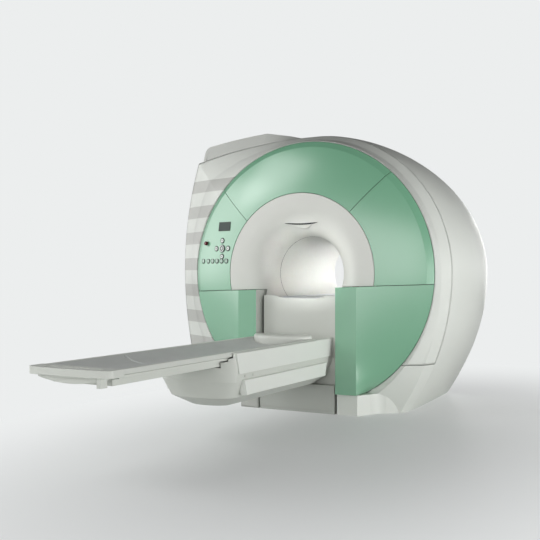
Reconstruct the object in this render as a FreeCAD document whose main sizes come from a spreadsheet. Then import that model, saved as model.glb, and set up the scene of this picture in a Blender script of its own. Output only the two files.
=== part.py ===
# Magnetic resonance scanner: covered magnet with a lifting patient table in front.
# Millimetres, +Z up. The origin lies on the floor under the isocentre: X runs across the
# table, +Y runs along the bore into the magnet, and the table stands towards -Y.
import FreeCAD, Part
import math
import os
import Sketcher
from FreeCAD import Placement, Rotation, Vector

doc = FreeCAD.newDocument("Scanner")
sheet = doc.addObject("Spreadsheet::Sheet", "Sizes")


class Size:
    """A length that carries the sheet expression it was worked out with."""

    def __init__(self, value, text):
        self.value = float(value)
        self.text = text

    def join(self, other, sign, work):
        other = other if isinstance(other, Size) else Size(other, repr(other))
        return Size(work(self.value, other.value), "(%s %s %s)" % (self.text, sign, other.text))

    def __add__(self, other):
        return self.join(other, "+", lambda a, b: a + b)

    def __sub__(self, other):
        return self.join(other, "-", lambda a, b: a - b)

    def __mul__(self, other):
        return self.join(other, "*", lambda a, b: a * b)

    def __truediv__(self, other):
        return self.join(other, "/", lambda a, b: a / b)

    def __neg__(self):
        return Size(-self.value, "(0 - %s)" % self.text)

    def __float__(self):
        return self.value


class Sizes:
    """The named values as Sizes, each entered in a line of the sheet."""

    def __init__(self, values):
        for row, (name, value) in enumerate(values.items(), start=1):
            sheet.set("A%d" % row, name)
            sheet.set("B%d" % row, str(value))
            sheet.setAlias("B%d" % row, name)
            setattr(self, name, Size(value, "Sizes." + name))


# bore and magnet
isoHeight = 1085  # isocentre above the floor
boreRadius = 300  # patient bore, clear radius
linerWall = 6  # bore liner wall
linerShort = 60  # bore liner shorter than the vessel, at each end
coilGap = 4  # air between the coil tubes
bodyCoilWall = 12  # radio coil former wall
bodyCoilHalf = 270  # half length of the radio coil
gradientWall = 90  # gradient coil wall
gradientHalf = 480  # half length of the gradient coil
vesselRoom = 145  # room for the coils between bore and vessel
vesselDeep = 445  # vessel from its warm bore to its outside
vesselHalf = 575  # half length of the magnet vessel
vesselRound = 60  # rounding of the vessel ends
footX = 430  # anchor bolts from the middle, across
footY = 400  # anchor bolts from the middle, along
footWide = 220  # foot plate width and length
footPlate = 25  # foot plate thickness
footWeb = 110  # foot column width
anchorOut = 80  # anchor bolt outwards of the foot's middle
anchorRadius = 13  # anchor bolt hole radius
coldHeadX = -430  # cold head from the middle
coldHeadRadius = 85  # cold head radius
coldHeadReach = 1025  # top of the cold head over the isocentre
# front face
funnelRim = 86  # flat rim of the funnel beyond its rounding
coverRoom = 168  # room between vessel and the edge of the ring
ringBevel = 46  # width of the ring's outer bevel
lipProud = 166  # inner edge of the ring in front of the cover frame
edgeProud = 13  # outer edge of the ring in front of the cover frame
shoulderProud = 52  # start of the bevel in front of the cover frame
frameStand = 25  # face of the cover frame in front of the vessel
frameThick = 10  # cover frame plate
frameFoot = 90  # lower edge of the cover frame between its legs
coverWall = 8  # wall of the big covers
ringWall = 7  # wall of the ring covers
seam = 4  # open joint between covers
shellLand = 3  # flat land of the front shell round the ring
seat = 0.3  # clearance of pieces that seat on each other
ringSeamLeft = 138  # angle of the upper left ring joint, degrees
ringSeamRight = 47.5  # angle of the upper right ring joint, degrees
lowerDrop = 120  # top of the lower ring covers under the isocentre, in the middle
lowerSlope = 0.035  # rise of that top from left to right, per millimetre
lowerFlat = 8  # how far the fold lies behind the front of the lower covers
lowerReach = 925  # bottom of the lower ring covers under the isocentre
lowerProud = 242  # front of the lower ring covers in front of the cover frame
foldX = 518  # fold of the lower ring covers from the middle
bellRadius = 250  # rounding of the funnel into the bore
bellWall = 6  # funnel wall
slitHalf = 165  # half width of the funnel's light slit
slitHigh = 8  # opening of the slit in its middle
slitHeight = 402  # slit above the isocentre
# shells
shellDeep = 220  # joint of front shell and side covers behind the cover frame
creaseDeep = 95  # crease of the front shell behind the cover frame
rearRoom = 205  # joint of side covers and rear cover behind the vessel
rearDeep = 26  # depth of the rear cover
rearHole = 560  # hole of the rear cover
crestFront = -290  # front end of the crest's ridge
crestBack = 250  # rear end of the crest's ridge
crestTail = 480  # rear end of the crest cover
skirtDrop = 701  # joint of front shell and skirts under the isocentre
skirtProud = 206  # front of the skirts in front of the cover frame
toeX = 512  # corner of the skirt's toe from the middle
toeBend = 608  # inner bend of the toe from the middle
creaseFloor = 745  # crease of the skirt on the floor
# tower
panelProud = 150  # front of the tower panel in front of the cover frame
panelHalf = 326  # half width of the tower panel
panelWall = 8  # tower panel thickness
panelDrop = 177  # top of the tower panel at its sides, under the isocentre
panelDip = 20  # dip of the panel's top for the table top
dipHalf = 190  # half width of that dip
bayGap = 21  # room between the tower panel and the lower covers
baseTop = 222  # top of the tower base box
baseProud = 62  # front of the base box in front of the tower panel
plinth = 26  # height of the base box plinth
plinthBack = 5  # setback of the plinth
trackDrop = 192  # top of the track plate under the isocentre
trackPlate = 8  # track plate thickness
railX = 150  # track rails from the middle
railWide = 26  # track rail width
railHigh = 7  # track rail height
# lift
glideRoom = 8  # raised table top over the track rails
columnX = 250  # lift columns from the middle
columnWide = 60  # lift column width
columnDeep = 24  # lift column depth
headBar = 28  # height of the bar on top of the lift columns
headRoom = 5  # room over the raised carriage
guideWide = 18  # guide rail width
guideDeep = 20  # guide rail depth
blockWide = 50  # guide block width
screwRadius = 16  # lift screw radius
screwBack = 50  # lift screw behind the front of the tower panel
screwClear = 0.05  # running clearance of the screw nut
armGap = 6  # room between the tower panel and the lift arms
armThick = 10  # lift arm thickness
carrierDrop = 22  # lower edge of the lift carriage under the beam
carrierTall = 106  # height of the lift carriage
carrierThick = 12  # lift carriage plates
motorRadius = 62  # lift motor radius
# table
tableTop = 595  # table top above the floor, lowered
tableHalf = 277  # half width of the table top
tableLong = 2295  # length of the table board
tableRoom = 35  # room between the pushed in table top and the tower panel
boardDeep = 92  # depth of the table board
tableTravel = 250  # free travel of the table top
ridgeOne = 28  # height of the table's upper edge band
ridgeStep = 27  # inward step under the upper edge band
ridgeTwo = 24  # height of the table's second band
troughHalf = 250  # half width of the table's trough
troughDeep = 66  # depth of the table's trough
padEdge = 5  # edge thickness of the mattress
padSag = 42  # hollow of the mattress top
headPadLong = 585  # head pad from the board's end to the joint, in the middle
footRoom = 190  # free end of the trough behind the mattress, in the middle
lipFront = 2  # open joint between mattress and end lip
lipHigh = 30  # height of the end lip over the table top
lipRound = 24  # rounding of the end lip's front edge
capLong = 117  # head cap beyond the board, at its sides
capCrown = 24  # bulge of the head cap's front edge
capHigh = 41  # head cap thickness
capRound = 38  # corner rounding of the head cap
capLipReach = 95  # how far the cap's lower lip reaches out
capLipLow = 514  # lowest point of that lip
capLipLeft = 225  # left end of that lip from the middle
capLipRight = 190  # right end of that lip from the middle
capLipArc = 900  # radius of the lip's lower edge
capFootLow = 502  # lower end of the cap's buffer foot
slotHalf = 196  # half length of the grip slot
slotWide = 45  # width of the grip slot
slotOut = 72  # grip slot beyond the board
# table support
hullHalf = 300  # half width of the table support
hullDrop = 6  # top of the table support under the table top
hullRoom = 24  # inner end of the support in front of the tower panel
hullLong = 1441  # straight part of the table support
channelGap = 8  # gap between table top and support
bandProud = 10  # how far the side bands stand out
beamHalf = 120  # half width of the steel beam
beamDrop = 237  # lower face of the beam under the support's top
beamTall = 96  # height of the beam
beamWall = 8  # beam wall
beamLong = 1306  # length of the beam
rollerRadius = 20  # support roller radius
rollerHalf = 90  # half length of a support roller
# control panel on the left of the ring
dialX = -729  # dial from the middle
dialUp = 205  # dial over the isocentre
dialRadius = 27  # dial outer radius
keyCircle = 66  # arrow keys from the dial's centre
keyRadius = 17  # arrow key radius
rowKeyUp = 102  # row of keys over the isocentre
rowKeyStart = -893  # first of the five keys in a row
rowKeyStep = 53.5  # pitch of the keys
rowKeyAlone = -958  # single key left of the row
rowKeyRadius = 16  # row key radius
stopX = -916  # stop button from the middle
stopUp = 251  # stop button over the isocentre
stopRadius = 17  # stop button radius
stopTravel = 5  # stop button travel
keyTravel = 2  # key travel
screenX = -715  # display from the middle
screenUp = 389  # display over the isocentre
screenWide = 135  # display width
screenHigh = 76  # display height

# worked out from the sizes above: radii and lengths of the magnet
vesselInner = boreRadius + vesselRoom
vesselOuter = vesselInner + vesselDeep
linerHalf = vesselHalf - linerShort
coldHeadTop = isoHeight + coldHeadReach
ringInner = boreRadius + bellRadius + funnelRim
ringOuter = vesselOuter + coverRoom
# depths of the covers
frameFace = -vesselHalf - frameStand
ringLip = frameFace - lipProud
ringEdge = frameFace - edgeProud
ringShoulder = frameFace - shoulderProud
lowerFront = frameFace - lowerProud
creaseFace = frameFace + creaseDeep
seamFace = frameFace + shellDeep
rearFace = vesselHalf + rearRoom
rearEnd = rearFace + rearDeep
skirtFront = frameFace - skirtProud
# heights of the covers and the controls
lowerTop = isoHeight - lowerDrop
lowerBottom = isoHeight - lowerReach
skirtTop = isoHeight - skirtDrop
panelTop = isoHeight - panelDrop
trackTop = isoHeight - trackDrop
dialZ = isoHeight + dialUp
rowKeyZ = isoHeight + rowKeyUp
stopZ = isoHeight + stopUp
screenZ = isoHeight + screenUp
# tower, lift and table
bayHalf = panelHalf + bayGap
armX = panelHalf + armGap
panelFace = frameFace - panelProud
baseFace = panelFace - baseProud
screwY = panelFace + screwBack
hullFoot = panelFace - hullRoom
hullTop = tableTop - hullDrop
tableUnder = tableTop - boardDeep
liftTravel = trackTop + railHigh + glideRoom - tableUnder
noseStart = hullFoot - hullLong
beamHead = hullFoot - beamLong
beamLow = hullTop - beamDrop
beamHigh = beamLow + beamTall
carrierLow = beamLow - carrierDrop
carrierHigh = carrierLow + carrierTall
columnTop = carrierHigh + liftTravel + headBar + headRoom
tableFoot = panelFace - tableRoom - tableTravel
tableHead = tableFoot - tableLong
padJoint = tableHead + headPadLong
padFoot = tableFoot - footRoom
capEnd = tableHead - capLong
slotY = tableHead - slotOut

s = Sizes({name: value for name, value in list(globals().items())
           if type(value) in (int, float) and not name.startswith("_")})
doc.recompute()

parts = {}


def keep(name, item):
    """Name an object as a finished piece."""
    item.Label = name
    parts[name] = item
    return item


def tie(item, path, size):
    """Bind one property of an object to a size."""
    if isinstance(size, Size):
        item.setExpression(path, size.text)
    else:
        item.setExpression(path, repr(float(size)))


def place(item, x=0, y=0, z=0, turn=None):
    """Place an object, with its base bound to sizes."""
    values = [float(v) for v in (x, y, z)]
    item.Placement = Placement(Vector(*values), turn or Rotation())
    for axis, size in zip("xyz", (x, y, z)):
        if isinstance(size, Size):
            item.setExpression("Placement.Base." + axis, size.text)


def box(name, x, y, z, wide, deep, high):
    """Box from its low corner and three lengths."""
    item = doc.addObject("Part::Box", name)
    for prop, size in (("Length", wide), ("Width", deep), ("Height", high)):
        tie(item, prop, size)
    place(item, x, y, z)
    return item


ALONG_Y = Rotation(Vector(1, 0, 0), -90)
ALONG_X = Rotation(Vector(0, 1, 0), 90)


def rod(name, x, y, z, radius, length, turn=None):
    """Cylinder from the centre of its first face."""
    item = doc.addObject("Part::Cylinder", name)
    tie(item, "Radius", radius)
    tie(item, "Height", length)
    place(item, x, y, z, turn)
    return item


def fuse(name, items):
    item = doc.addObject("Part::MultiFuse", name)
    item.Shapes = items
    item.Refine = True
    return item


def cut(name, base, tools):
    item = doc.addObject("Part::Cut", name)
    item.Base = base
    item.Tool = tools[0] if len(tools) == 1 else fuse(name + "Tools", tools)
    return item


def feature(name, shape):
    """Free-form piece whose shape is worked out from the sizes."""
    item = doc.addObject("Part::Feature", name)
    item.Shape = shape
    return item


PLANES = {"XY": "XY_Plane", "XZ": "XZ_Plane", "YZ": "YZ_Plane"}


def sketchOn(body, plane, loops, name):
    """Sketch of closed outlines whose corners are bound to the sheet."""
    sketch = body.newObject("Sketcher::SketchObject", name)
    for item in body.Origin.OriginFeatures:
        if item.Role == PLANES[plane]:
            sketch.AttachmentSupport = [(item, "")]
    sketch.MapMode = "FlatFace"
    for loop in loops:
        first = sketch.GeometryCount
        points = [Vector(float(u), float(v), 0) for u, v in loop]
        count = len(points)
        for i in range(count):
            sketch.addGeometry(Part.LineSegment(points[i], points[(i + 1) % count]), False)
        for i in range(count):
            after = first + (i + 1) % count
            sketch.addConstraint(Sketcher.Constraint("Coincident", first + i, 2, after, 1))
        for i, (u, v) in enumerate(loop):
            for kind, size in (("DistanceX", u), ("DistanceY", v)):
                row = sketch.addConstraint(Sketcher.Constraint(kind, first + i, 1, float(size)))
                if isinstance(size, Size):
                    sketch.setExpression("Constraints[%d]" % row, size.text)
    return sketch


def padBody(name, plane, loops, length, x=0, y=0, z=0, reverse=False):
    """Body padded from a sketch."""
    body = doc.addObject("PartDesign::Body", name)
    pad = body.newObject("PartDesign::Pad", name + "Pad")
    pad.Profile = sketchOn(body, plane, loops, name + "Sketch")
    tie(pad, "Length", length)
    pad.Reversed = reverse
    body.Tip = pad
    place(body, x, y, z)
    return body


def turnBody(name, loop, x=0, y=0, z=0, turn=None):
    """Body turned about its own Y axis from a (radius, depth) outline."""
    body = doc.addObject("PartDesign::Body", name)
    sketch = sketchOn(body, "XY", [loop], name + "Sketch")
    spin = body.newObject("PartDesign::Revolution", name + "Turn")
    spin.Profile = sketch
    spin.ReferenceAxis = (sketch, ["V_Axis"])
    spin.Angle = 360
    body.Tip = spin
    place(body, x, y, z, turn)
    return body


def tube(name, inner, outer, half):
    """Tube about the bore axis."""
    loop = [(inner, -half), (outer, -half), (outer, half), (inner, half)]
    return turnBody(name, loop, z=s.isoHeight)


# ---- magnet and coils ---------------------------------------------------------------

linerOuter = s.boreRadius + s.linerWall
keep("bore_liner", tube("BoreLiner", s.boreRadius, linerOuter, s.linerHalf))

coilInner = linerOuter + s.seat
coilOuter = coilInner + s.bodyCoilWall
coilRing = s.bodyCoilHalf - 40
keep("rf_body_coil", turnBody("RfBodyCoil", [
    (coilInner, -s.bodyCoilHalf), (coilOuter + 8, -s.bodyCoilHalf), (coilOuter + 8, -coilRing),
    (coilOuter, -coilRing), (coilOuter, coilRing), (coilOuter + 8, coilRing),
    (coilOuter + 8, s.bodyCoilHalf), (coilInner, s.bodyCoilHalf)], z=s.isoHeight))

gradientInner = s.vesselInner - s.coilGap - s.gradientWall
keep("gradient_coil", tube("GradientCoil", gradientInner, gradientInner + s.gradientWall, s.gradientHalf))

vesselEnd = s.vesselHalf - s.vesselRound
vesselRim = s.vesselOuter - s.vesselRound * 0.5
vessel = turnBody("MagnetVessel", [
    (s.vesselInner, -s.vesselHalf), (vesselRim, -s.vesselHalf), (s.vesselOuter, -vesselEnd),
    (s.vesselOuter, vesselEnd), (vesselRim, s.vesselHalf), (s.vesselInner, s.vesselHalf)],
    z=s.isoHeight)
keep("magnet_vessel", vessel)

# wedges carry the gradient coil in the warm bore at both ends
wedge = []
for end in (-1, 1):
    for side in (-1, 1):
        for level in (-1, 1):
            angle = math.radians(45)
            radius = gradientInner + s.gradientWall
            x = (radius + s.coilGap / 2) * (side * math.cos(angle))
            z = s.isoHeight + (radius + s.coilGap / 2) * (level * math.sin(angle))
            y = -s.gradientHalf if end < 0 else s.gradientHalf - 60
            wedge.append((x, y, z))
wedgeRing = cut("CoilWedgeRing", rod("CoilWedgeOuter", 0, -s.gradientHalf, s.isoHeight,
                                     s.vesselInner - s.seat, s.gradientHalf * 2, ALONG_Y),
                [rod("CoilWedgeInner", 0, -s.gradientHalf, s.isoHeight,
                     radius + s.seat, s.gradientHalf * 2, ALONG_Y)])
wedgeBlocks = fuse("CoilWedgeBlocks", [
    box("CoilWedge%d" % i, x - 30, y, z - 30, 60, 60, 60) for i, (x, y, z) in enumerate(wedge)])
wedges = doc.addObject("Part::Common", "CoilWedges")
wedges.Base = wedgeRing
wedges.Tool = wedgeBlocks
keep("coil_wedges", wedges)

# four welded feet under the vessel, each with an anchor hole in its plate
feet = []
for sx in (-1, 1):
    for sy in (-1, 1):
        tag = "%d%d" % (sx > 0, sy > 0)
        cx = s.footX * sx
        cy = s.footY * sy
        plate = box("FootPlate" + tag, cx - s.footWide / 2, cy - s.footWide / 2, 0,
                    s.footWide, s.footWide, s.footPlate)
        web = box("FootWeb" + tag, cx - s.footWeb / 2 - s.footX * 0.1 * sx, cy - s.footWeb / 2,
                  s.footPlate, s.footWeb, s.footWeb, 400)
        block = fuse("FootBlock" + tag, [plate, web])
        hole = rod("FootHole" + tag, cx + s.anchorOut * sx, cy, -1, s.anchorRadius, s.footPlate + 2)
        feet.append(cut("Foot" + tag, block, [hole]))
keep("magnet_feet", cut("MagnetFeet", fuse("FeetBlocks", feet), [
    rod("FeetSaddle", 0, -s.vesselHalf, s.isoHeight, s.vesselOuter + s.seat, s.vesselHalf * 2, ALONG_Y)]))

coldFoot = isoHeight + math.sqrt(vesselOuter ** 2 - coldHeadX ** 2)
coldBody = fuse("ColdHeadBody", [
    rod("ColdFlange", s.coldHeadX, 0, coldFoot - 60, s.coldHeadRadius + 30, 100),
    rod("ColdTube", s.coldHeadX, 0, coldFoot + 30, s.coldHeadRadius, s.coldHeadTop - (coldFoot + 30))])
keep("cold_head", cut("ColdHead", coldBody, [
    rod("ColdSaddle", 0, -s.vesselHalf, s.isoHeight, s.vesselOuter + s.seat, s.vesselHalf * 2, ALONG_Y)]))


# ---- outlines of the big covers -----------------------------------------------------

def arcThrough(a, b, c):
    return Part.Arc(Vector(*a), Vector(*b), Vector(*c)).toShape()


def sideArc(y, outer, edge):
    """Arc from a side's widest point, where it stands upright, to another point.

    radius = (dx^2 + dz^2) / (2 dx), with its centre level with the widest point.
    """
    (xo, zo), (xe, ze) = outer, edge
    across = abs(xo - xe)
    high = abs(ze - zo)
    radius = (across ** 2 + high ** 2) / (2 * across)
    sign = 1 if xo > 0 else -1
    half = math.asin(high / radius) / 2
    xm = xo - sign * radius * (1 - math.cos(half))
    zm = zo + math.copysign(radius * math.sin(half), ze - zo)
    return arcThrough((xo, y, zo), (xm, y, zm), (xe, y, ze))


def roofArc(y, apex, corner):
    """Arc from the apex, where the roof is level, down to the left corner."""
    drop = apex - corner[1]
    radius = (corner[0] ** 2 + drop ** 2) / (2 * drop)
    half = math.asin(abs(corner[0]) / radius) / 2
    mid = (-radius * math.sin(half), y, apex - radius * (1 - math.cos(half)))
    return arcThrough((0, y, apex), mid, (corner[0], y, corner[1]))


def quarterOval(y, wide, base, high):
    """Quarter ellipse from the right side up to the apex."""
    oval = Part.Ellipse(Vector(0, y, base), max(wide, high), min(wide, high))
    long = Vector(1, 0, 0) if wide >= high else Vector(0, 0, 1)
    centre = Vector(0, y, base)
    oval = Part.Ellipse(centre + long * max(wide, high),
                        centre + (Vector(0, 0, 1) if wide >= high else Vector(-1, 0, 0)) * min(wide, high),
                        centre)
    start = oval.parameter(Vector(wide, y, base))
    end = oval.parameter(Vector(0, y, base + high))
    if end < start:
        end += 2 * math.pi
    return Part.ArcOfEllipse(oval, start, end).toShape()


def coverOutline(y, floorRight, wideRight, high, corner, wideLeft, floorLeft, inset=0.0, base=0.0):
    """Closed outline of the housing across the bore at depth y.

    The right side is a floor arc and a quarter oval; the left side is a roof arc to a
    corner, an upright arc and a floor arc. inset moves it inwards by a wall.
    """
    iso = isoHeight
    apex = iso + high - inset
    right = (wideRight - inset, iso)
    left = (-(wideLeft - inset), iso + 45)
    cornerIn = (corner[0] + inset, corner[1] - inset)
    floorR = (floorRight - inset, base)
    floorL = (-(floorLeft - inset), base)
    edges = [
        sideArc(y, right, floorR),
        quarterOval(y, right[0], iso, apex - iso),
        roofArc(y, apex, cornerIn),
        sideArc(y, left, cornerIn),
        sideArc(y, left, floorL),
        Part.LineSegment(Vector(floorL[0], y, base), Vector(floorR[0], y, base)).toShape(),
    ]
    return Part.Wire(Part.__sortEdges__(edges))


ringSeat = ringOuter + seam
shellEdge = ringSeat + shellLand
leftTurn = math.radians(142)

# outlines of the covers: depth, right side at the floor and at its widest, roof over the
# isocentre, corner of the wing, left side at its widest and at the floor
FRONT = [
    (ringEdge, 330, shellEdge, shellEdge,
     (shellEdge * math.cos(leftTurn), isoHeight + shellEdge * math.sin(leftTurn)), shellEdge, 330),
    (creaseFace, creaseFloor, ringOuter + 15, ringOuter + 32,
     (-ringOuter + 54, isoHeight + 805), ringOuter + 138, creaseFloor + 15),
    (seamFace, creaseFloor + 30, ringOuter + 67, ringOuter + 77,
     (-ringOuter - 142, isoHeight + 978), ringOuter + 291, ringOuter + 98),
]
BARREL = [
    FRONT[2],
    (seamFace + 480.0, creaseFloor + 15, ringOuter + 142, ringOuter + 72,
     (-ringOuter - 157, isoHeight + 955), ringOuter + 292, ringOuter + 92),
    (rearFace - 330.0, creaseFloor - 5, ringOuter + 112, ringOuter + 12,
     (-ringOuter - 22, isoHeight + 845), ringOuter + 202, ringOuter - 8),
    (rearFace, creaseFloor - 25, ringOuter + 2, ringOuter - 88,
     (-ringOuter + 258, isoHeight + 737), ringOuter + 27, ringOuter - 258),
]
REAR = [
    BARREL[3],
    (rearEnd, creaseFloor - 45, ringOuter - 28, ringOuter - 118,
     (-ringOuter + 283, isoHeight + 710), ringOuter - 3, ringOuter - 283),
]


def coverLoft(rows, inset=0.0, ruled=False, low=0.0, shift=None):
    """Solid through a list of outlines, optionally moved inwards by a wall."""
    wires = []
    for i, row in enumerate(rows):
        y = row[0] + (shift[i] if shift else 0.0)
        wires.append(coverOutline(y, *row[1:], inset=inset, base=low))
    return Part.makeLoft(wires, True, ruled)


def slab(x0, x1, y0, y1, z0, z1):
    return Part.makeBox(x1 - x0, y1 - y0, z1 - z0, Vector(x0, y0, z0))


def boreRod(radius, y0, y1):
    return Part.makeCylinder(radius, y1 - y0, Vector(0, y0, isoHeight), Vector(0, 1, 0))


def largest(shape):
    """The largest solid of a shape, with its split faces joined again."""
    return max(shape.removeSplitter().Solids, key=lambda one: one.Volume)


def prismY(points, y0, y1):
    wire = Part.makePolygon([Vector(x, y0, z) for x, z in points + points[:1]])
    return Part.Face(wire).extrude(Vector(0, y1 - y0, 0))


def prismZ(points, z0, z1):
    wire = Part.makePolygon([Vector(x, y, z0) for x, y in points + points[:1]])
    return Part.Face(wire).extrude(Vector(0, 0, z1 - z0))


wall = coverWall
gap = seam
far = 3000.0



def toeSolid(inset, sign):
    """Toe of a skirt: from a corner under the lower ring cover round a hollow bend to the crease."""
    z0 = -1.0 if inset else 0.0
    end = seamFace + (1 if inset else 0)
    plan = [(bayHalf + inset, skirtFront + inset), (toeX - inset * 0.5, skirtFront + lowerFlat + inset),
            (toeBend - 35 - inset * 0.9, ringEdge - 70 + inset * 0.4),
            (toeBend - inset * 0.8, ringEdge + inset * 0.6),
            (toeBend + 50 - inset * 0.6, ringEdge + 42 + inset * 0.8),
            (creaseFloor - inset * 0.5, creaseFace + 2 + inset * 0.8), (creaseFloor - inset * 0.5, end),
            (bayHalf + inset, end)]
    p = [Vector(sign * x, y, z0) for x, y in plan]
    edges = [Part.LineSegment(p[0], p[1]).toShape(), Part.LineSegment(p[1], p[2]).toShape(),
             Part.Arc(p[2], p[3], p[4]).toShape()]
    for a, b in zip(p[4:], p[5:] + p[:1]):
        edges.append(Part.LineSegment(a, b).toShape())
    face = Part.Face(Part.Wire(edges))
    return face.extrude(Vector(0, 0, lowerBottom - gap - inset - z0))


# front shell: a crescent round the ring, a cove and a flared band, with the wing on the left;
# below the ring it runs on into a toe under each lower ring cover
shellOuter = coverLoft(FRONT[:2], ruled=True).fuse(
    [coverLoft(FRONT[1:], ruled=True), toeSolid(0.0, 1), toeSolid(0.0, -1)])
insideRows = [(frameFace,) + FRONT[0][1:], FRONT[1], (seamFace + 1,) + FRONT[2][1:]]
shellInner = coverLoft(insideRows[:2], inset=wall, ruled=True, low=-1.0).fuse(
    [coverLoft(insideRows[1:], inset=wall, ruled=True, low=-1.0), toeSolid(wall, 1), toeSolid(wall, -1)])
shell = shellOuter.cut(shellInner).cut(boreRod(ringSeat, ringEdge - 1, frameFace + 1))
bay = slab(-bayHalf, bayHalf, lowerFront - 50, frameFace + 200, -1, panelTop + 20)
shell = shell.cut(bay)
keep("front_shell", feature("FrontShell", largest(shell.common(slab(-far, far, -far, far, skirtTop, far)))))
low = shell.common(slab(-far, far, -far, far, -1, skirtTop - gap))
keep("skirt_right", feature("SkirtRight", largest(low.common(slab(0, far, -far, far, -1, far)))))
keep("skirt_left", feature("SkirtLeft", largest(low.common(slab(-far, 0, -far, far, -1, far)))))

# ring covers: one dished shell, parted at the joints, with flanges back to the cover frame
isoZ = isoHeight
ringIn = ringInner + gap
ringOut = ringOuter
shoulder = ringOut - ringBevel
t = ringWall
back = frameFace


def ringFace(inset):
    """Section of the ring: a shallow dome, a bevel and two flanges, inset by the wall."""
    mid = ((ringIn + shoulder) / 2, (ringLip + ringShoulder) / 2 - 13)
    lip = Vector(ringIn + inset, ringLip + inset, 0)
    edge = Vector(shoulder - inset * 0.3, ringShoulder + inset, 0)
    rim = Vector(ringOut - inset, ringEdge + inset * 0.7, 0)
    crown = Vector(mid[0], mid[1] + inset, 0)
    end = back + (1 if inset else 0)
    foot = Vector(ringOut - inset, end, 0)
    heel = Vector(ringIn + inset, end, 0)
    edges = [Part.Arc(lip, crown, edge).toShape()]
    for a, b in ((edge, rim), (rim, foot), (foot, heel), (heel, lip)):
        edges.append(Part.LineSegment(a, b).toShape())
    solid = Part.Face(Part.Wire(edges)).revolve(Vector(0, 0, 0), Vector(0, 1, 0), 360)
    if solid.Volume < 0:
        solid.reverse()
    solid.translate(Vector(0, 0, isoZ))
    return solid


def sector(start, end):
    """Wedge of the plane across the bore between two angles, in degrees, under half a turn."""
    half = gap / 2
    points = [(0.0, isoZ)]
    mid = math.radians((start + end) / 2)
    shift = half / math.sin(math.radians((end - start) / 2))
    points = [(shift * math.cos(mid), isoZ + shift * math.sin(mid))]
    for angle in (start, (start + end) / 2, end):
        turn = math.radians(angle)
        points.append((points[0][0] + 2600 * math.cos(turn), points[0][1] + 2600 * math.sin(turn)))
    return prismY(points, -1000, -500)


dish = ringFace(0.0).cut(ringFace(t))
leftSeam = ringSeamLeft
rightSeam = ringSeamRight


def tilted(shift, up):
    """Region above or below the tilted joint on top of the lower ring covers."""
    level = lowerTop + shift
    end = far if up else -far
    lean = lowerSlope * far
    return prismY([(-far, level - lean), (far, level + lean), (far, end), (-far, end)], -far, far)


above = tilted(gap, True)
keep("ring_top", feature("RingTop", dish.common(sector(rightSeam, leftSeam))))
ringLeft = dish.common(sector(leftSeam, 225)).common(above)
ringRight = dish.common(sector(-45, rightSeam)).common(above)
keep("ring_right", feature("RingRight", ringRight))


def lowerSolid(inset, sign):
    """Lower ring cover: flat beside the table bay, then a ruled surface back to the ring's circle."""
    radius = ringOut - inset
    low = lowerBottom + inset
    end = back + (1 if inset else 0)
    slope = lowerSlope * sign
    depths = [lowerFront + inset, lowerFront + lowerFlat + inset, ringEdge + inset, end, end]
    inner = bayHalf + inset
    fold = foldX - inset * 0.4
    # top corner on the circle: x^2 + (lowerTop + slope x - isoZ)^2 = radius^2
    high = lowerTop - inset
    a, b, c = 1 + slope ** 2, slope * (high - isoZ), (high - isoZ) ** 2 - radius ** 2
    reachTop = (-b + math.sqrt(b * b - a * c)) / a
    reachLow = math.sqrt(radius ** 2 - (low - isoZ) ** 2)
    across = {0: inner, 1: fold, 4: inner}
    top = []
    bottom = []
    for i, y in enumerate(depths):
        x = across.get(i, reachTop)
        top.append(Vector(sign * x, y, high + slope * x))
        bottom.append(Vector(sign * across.get(i, reachLow), y, low))
    turns = [math.asin((z - isoZ) / radius) for z in (low, top[2].z)]
    half = sum(turns) / 2

    def line(p, q):
        return Part.LineSegment(p, q).toShape()

    def rimArc(i):
        mid = Vector(sign * radius * math.cos(half), depths[i], isoZ + radius * math.sin(half))
        return Part.Arc(bottom[i], mid, top[i]).toShape()

    uprights = [line(bottom[0], top[0]), line(bottom[1], top[1]), rimArc(2), rimArc(3),
                line(bottom[4], top[4])]
    faces = [Part.Face(Part.makePolygon(points + points[:1])) for points in (top, bottom)]
    flat = [line(bottom[3], bottom[4]), uprights[4], line(top[4], top[3]), uprights[3]]
    faces.append(Part.Face(Part.Wire(Part.__sortEdges__(flat))))
    for i, j in ((0, 1), (1, 2), (2, 3), (4, 0)):
        faces.append(Part.makeRuledSurface(uprights[i], uprights[j]))
    skin = Part.makeShell(faces)
    skin.sewShape()
    solid = Part.makeSolid(Part.Shell(skin.Faces))
    if solid.Volume < 0:
        solid.reverse()
    return solid


for name, sign in (("ring_lower_right", 1), ("ring_lower_left", -1)):
    keep(name, feature(name.title().replace("_", ""), lowerSolid(0.0, sign).cut(lowerSolid(t, sign))))

# front funnel: flat annulus turning through a quarter round into the bore
bell = bellRadius
bw = bellWall


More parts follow.
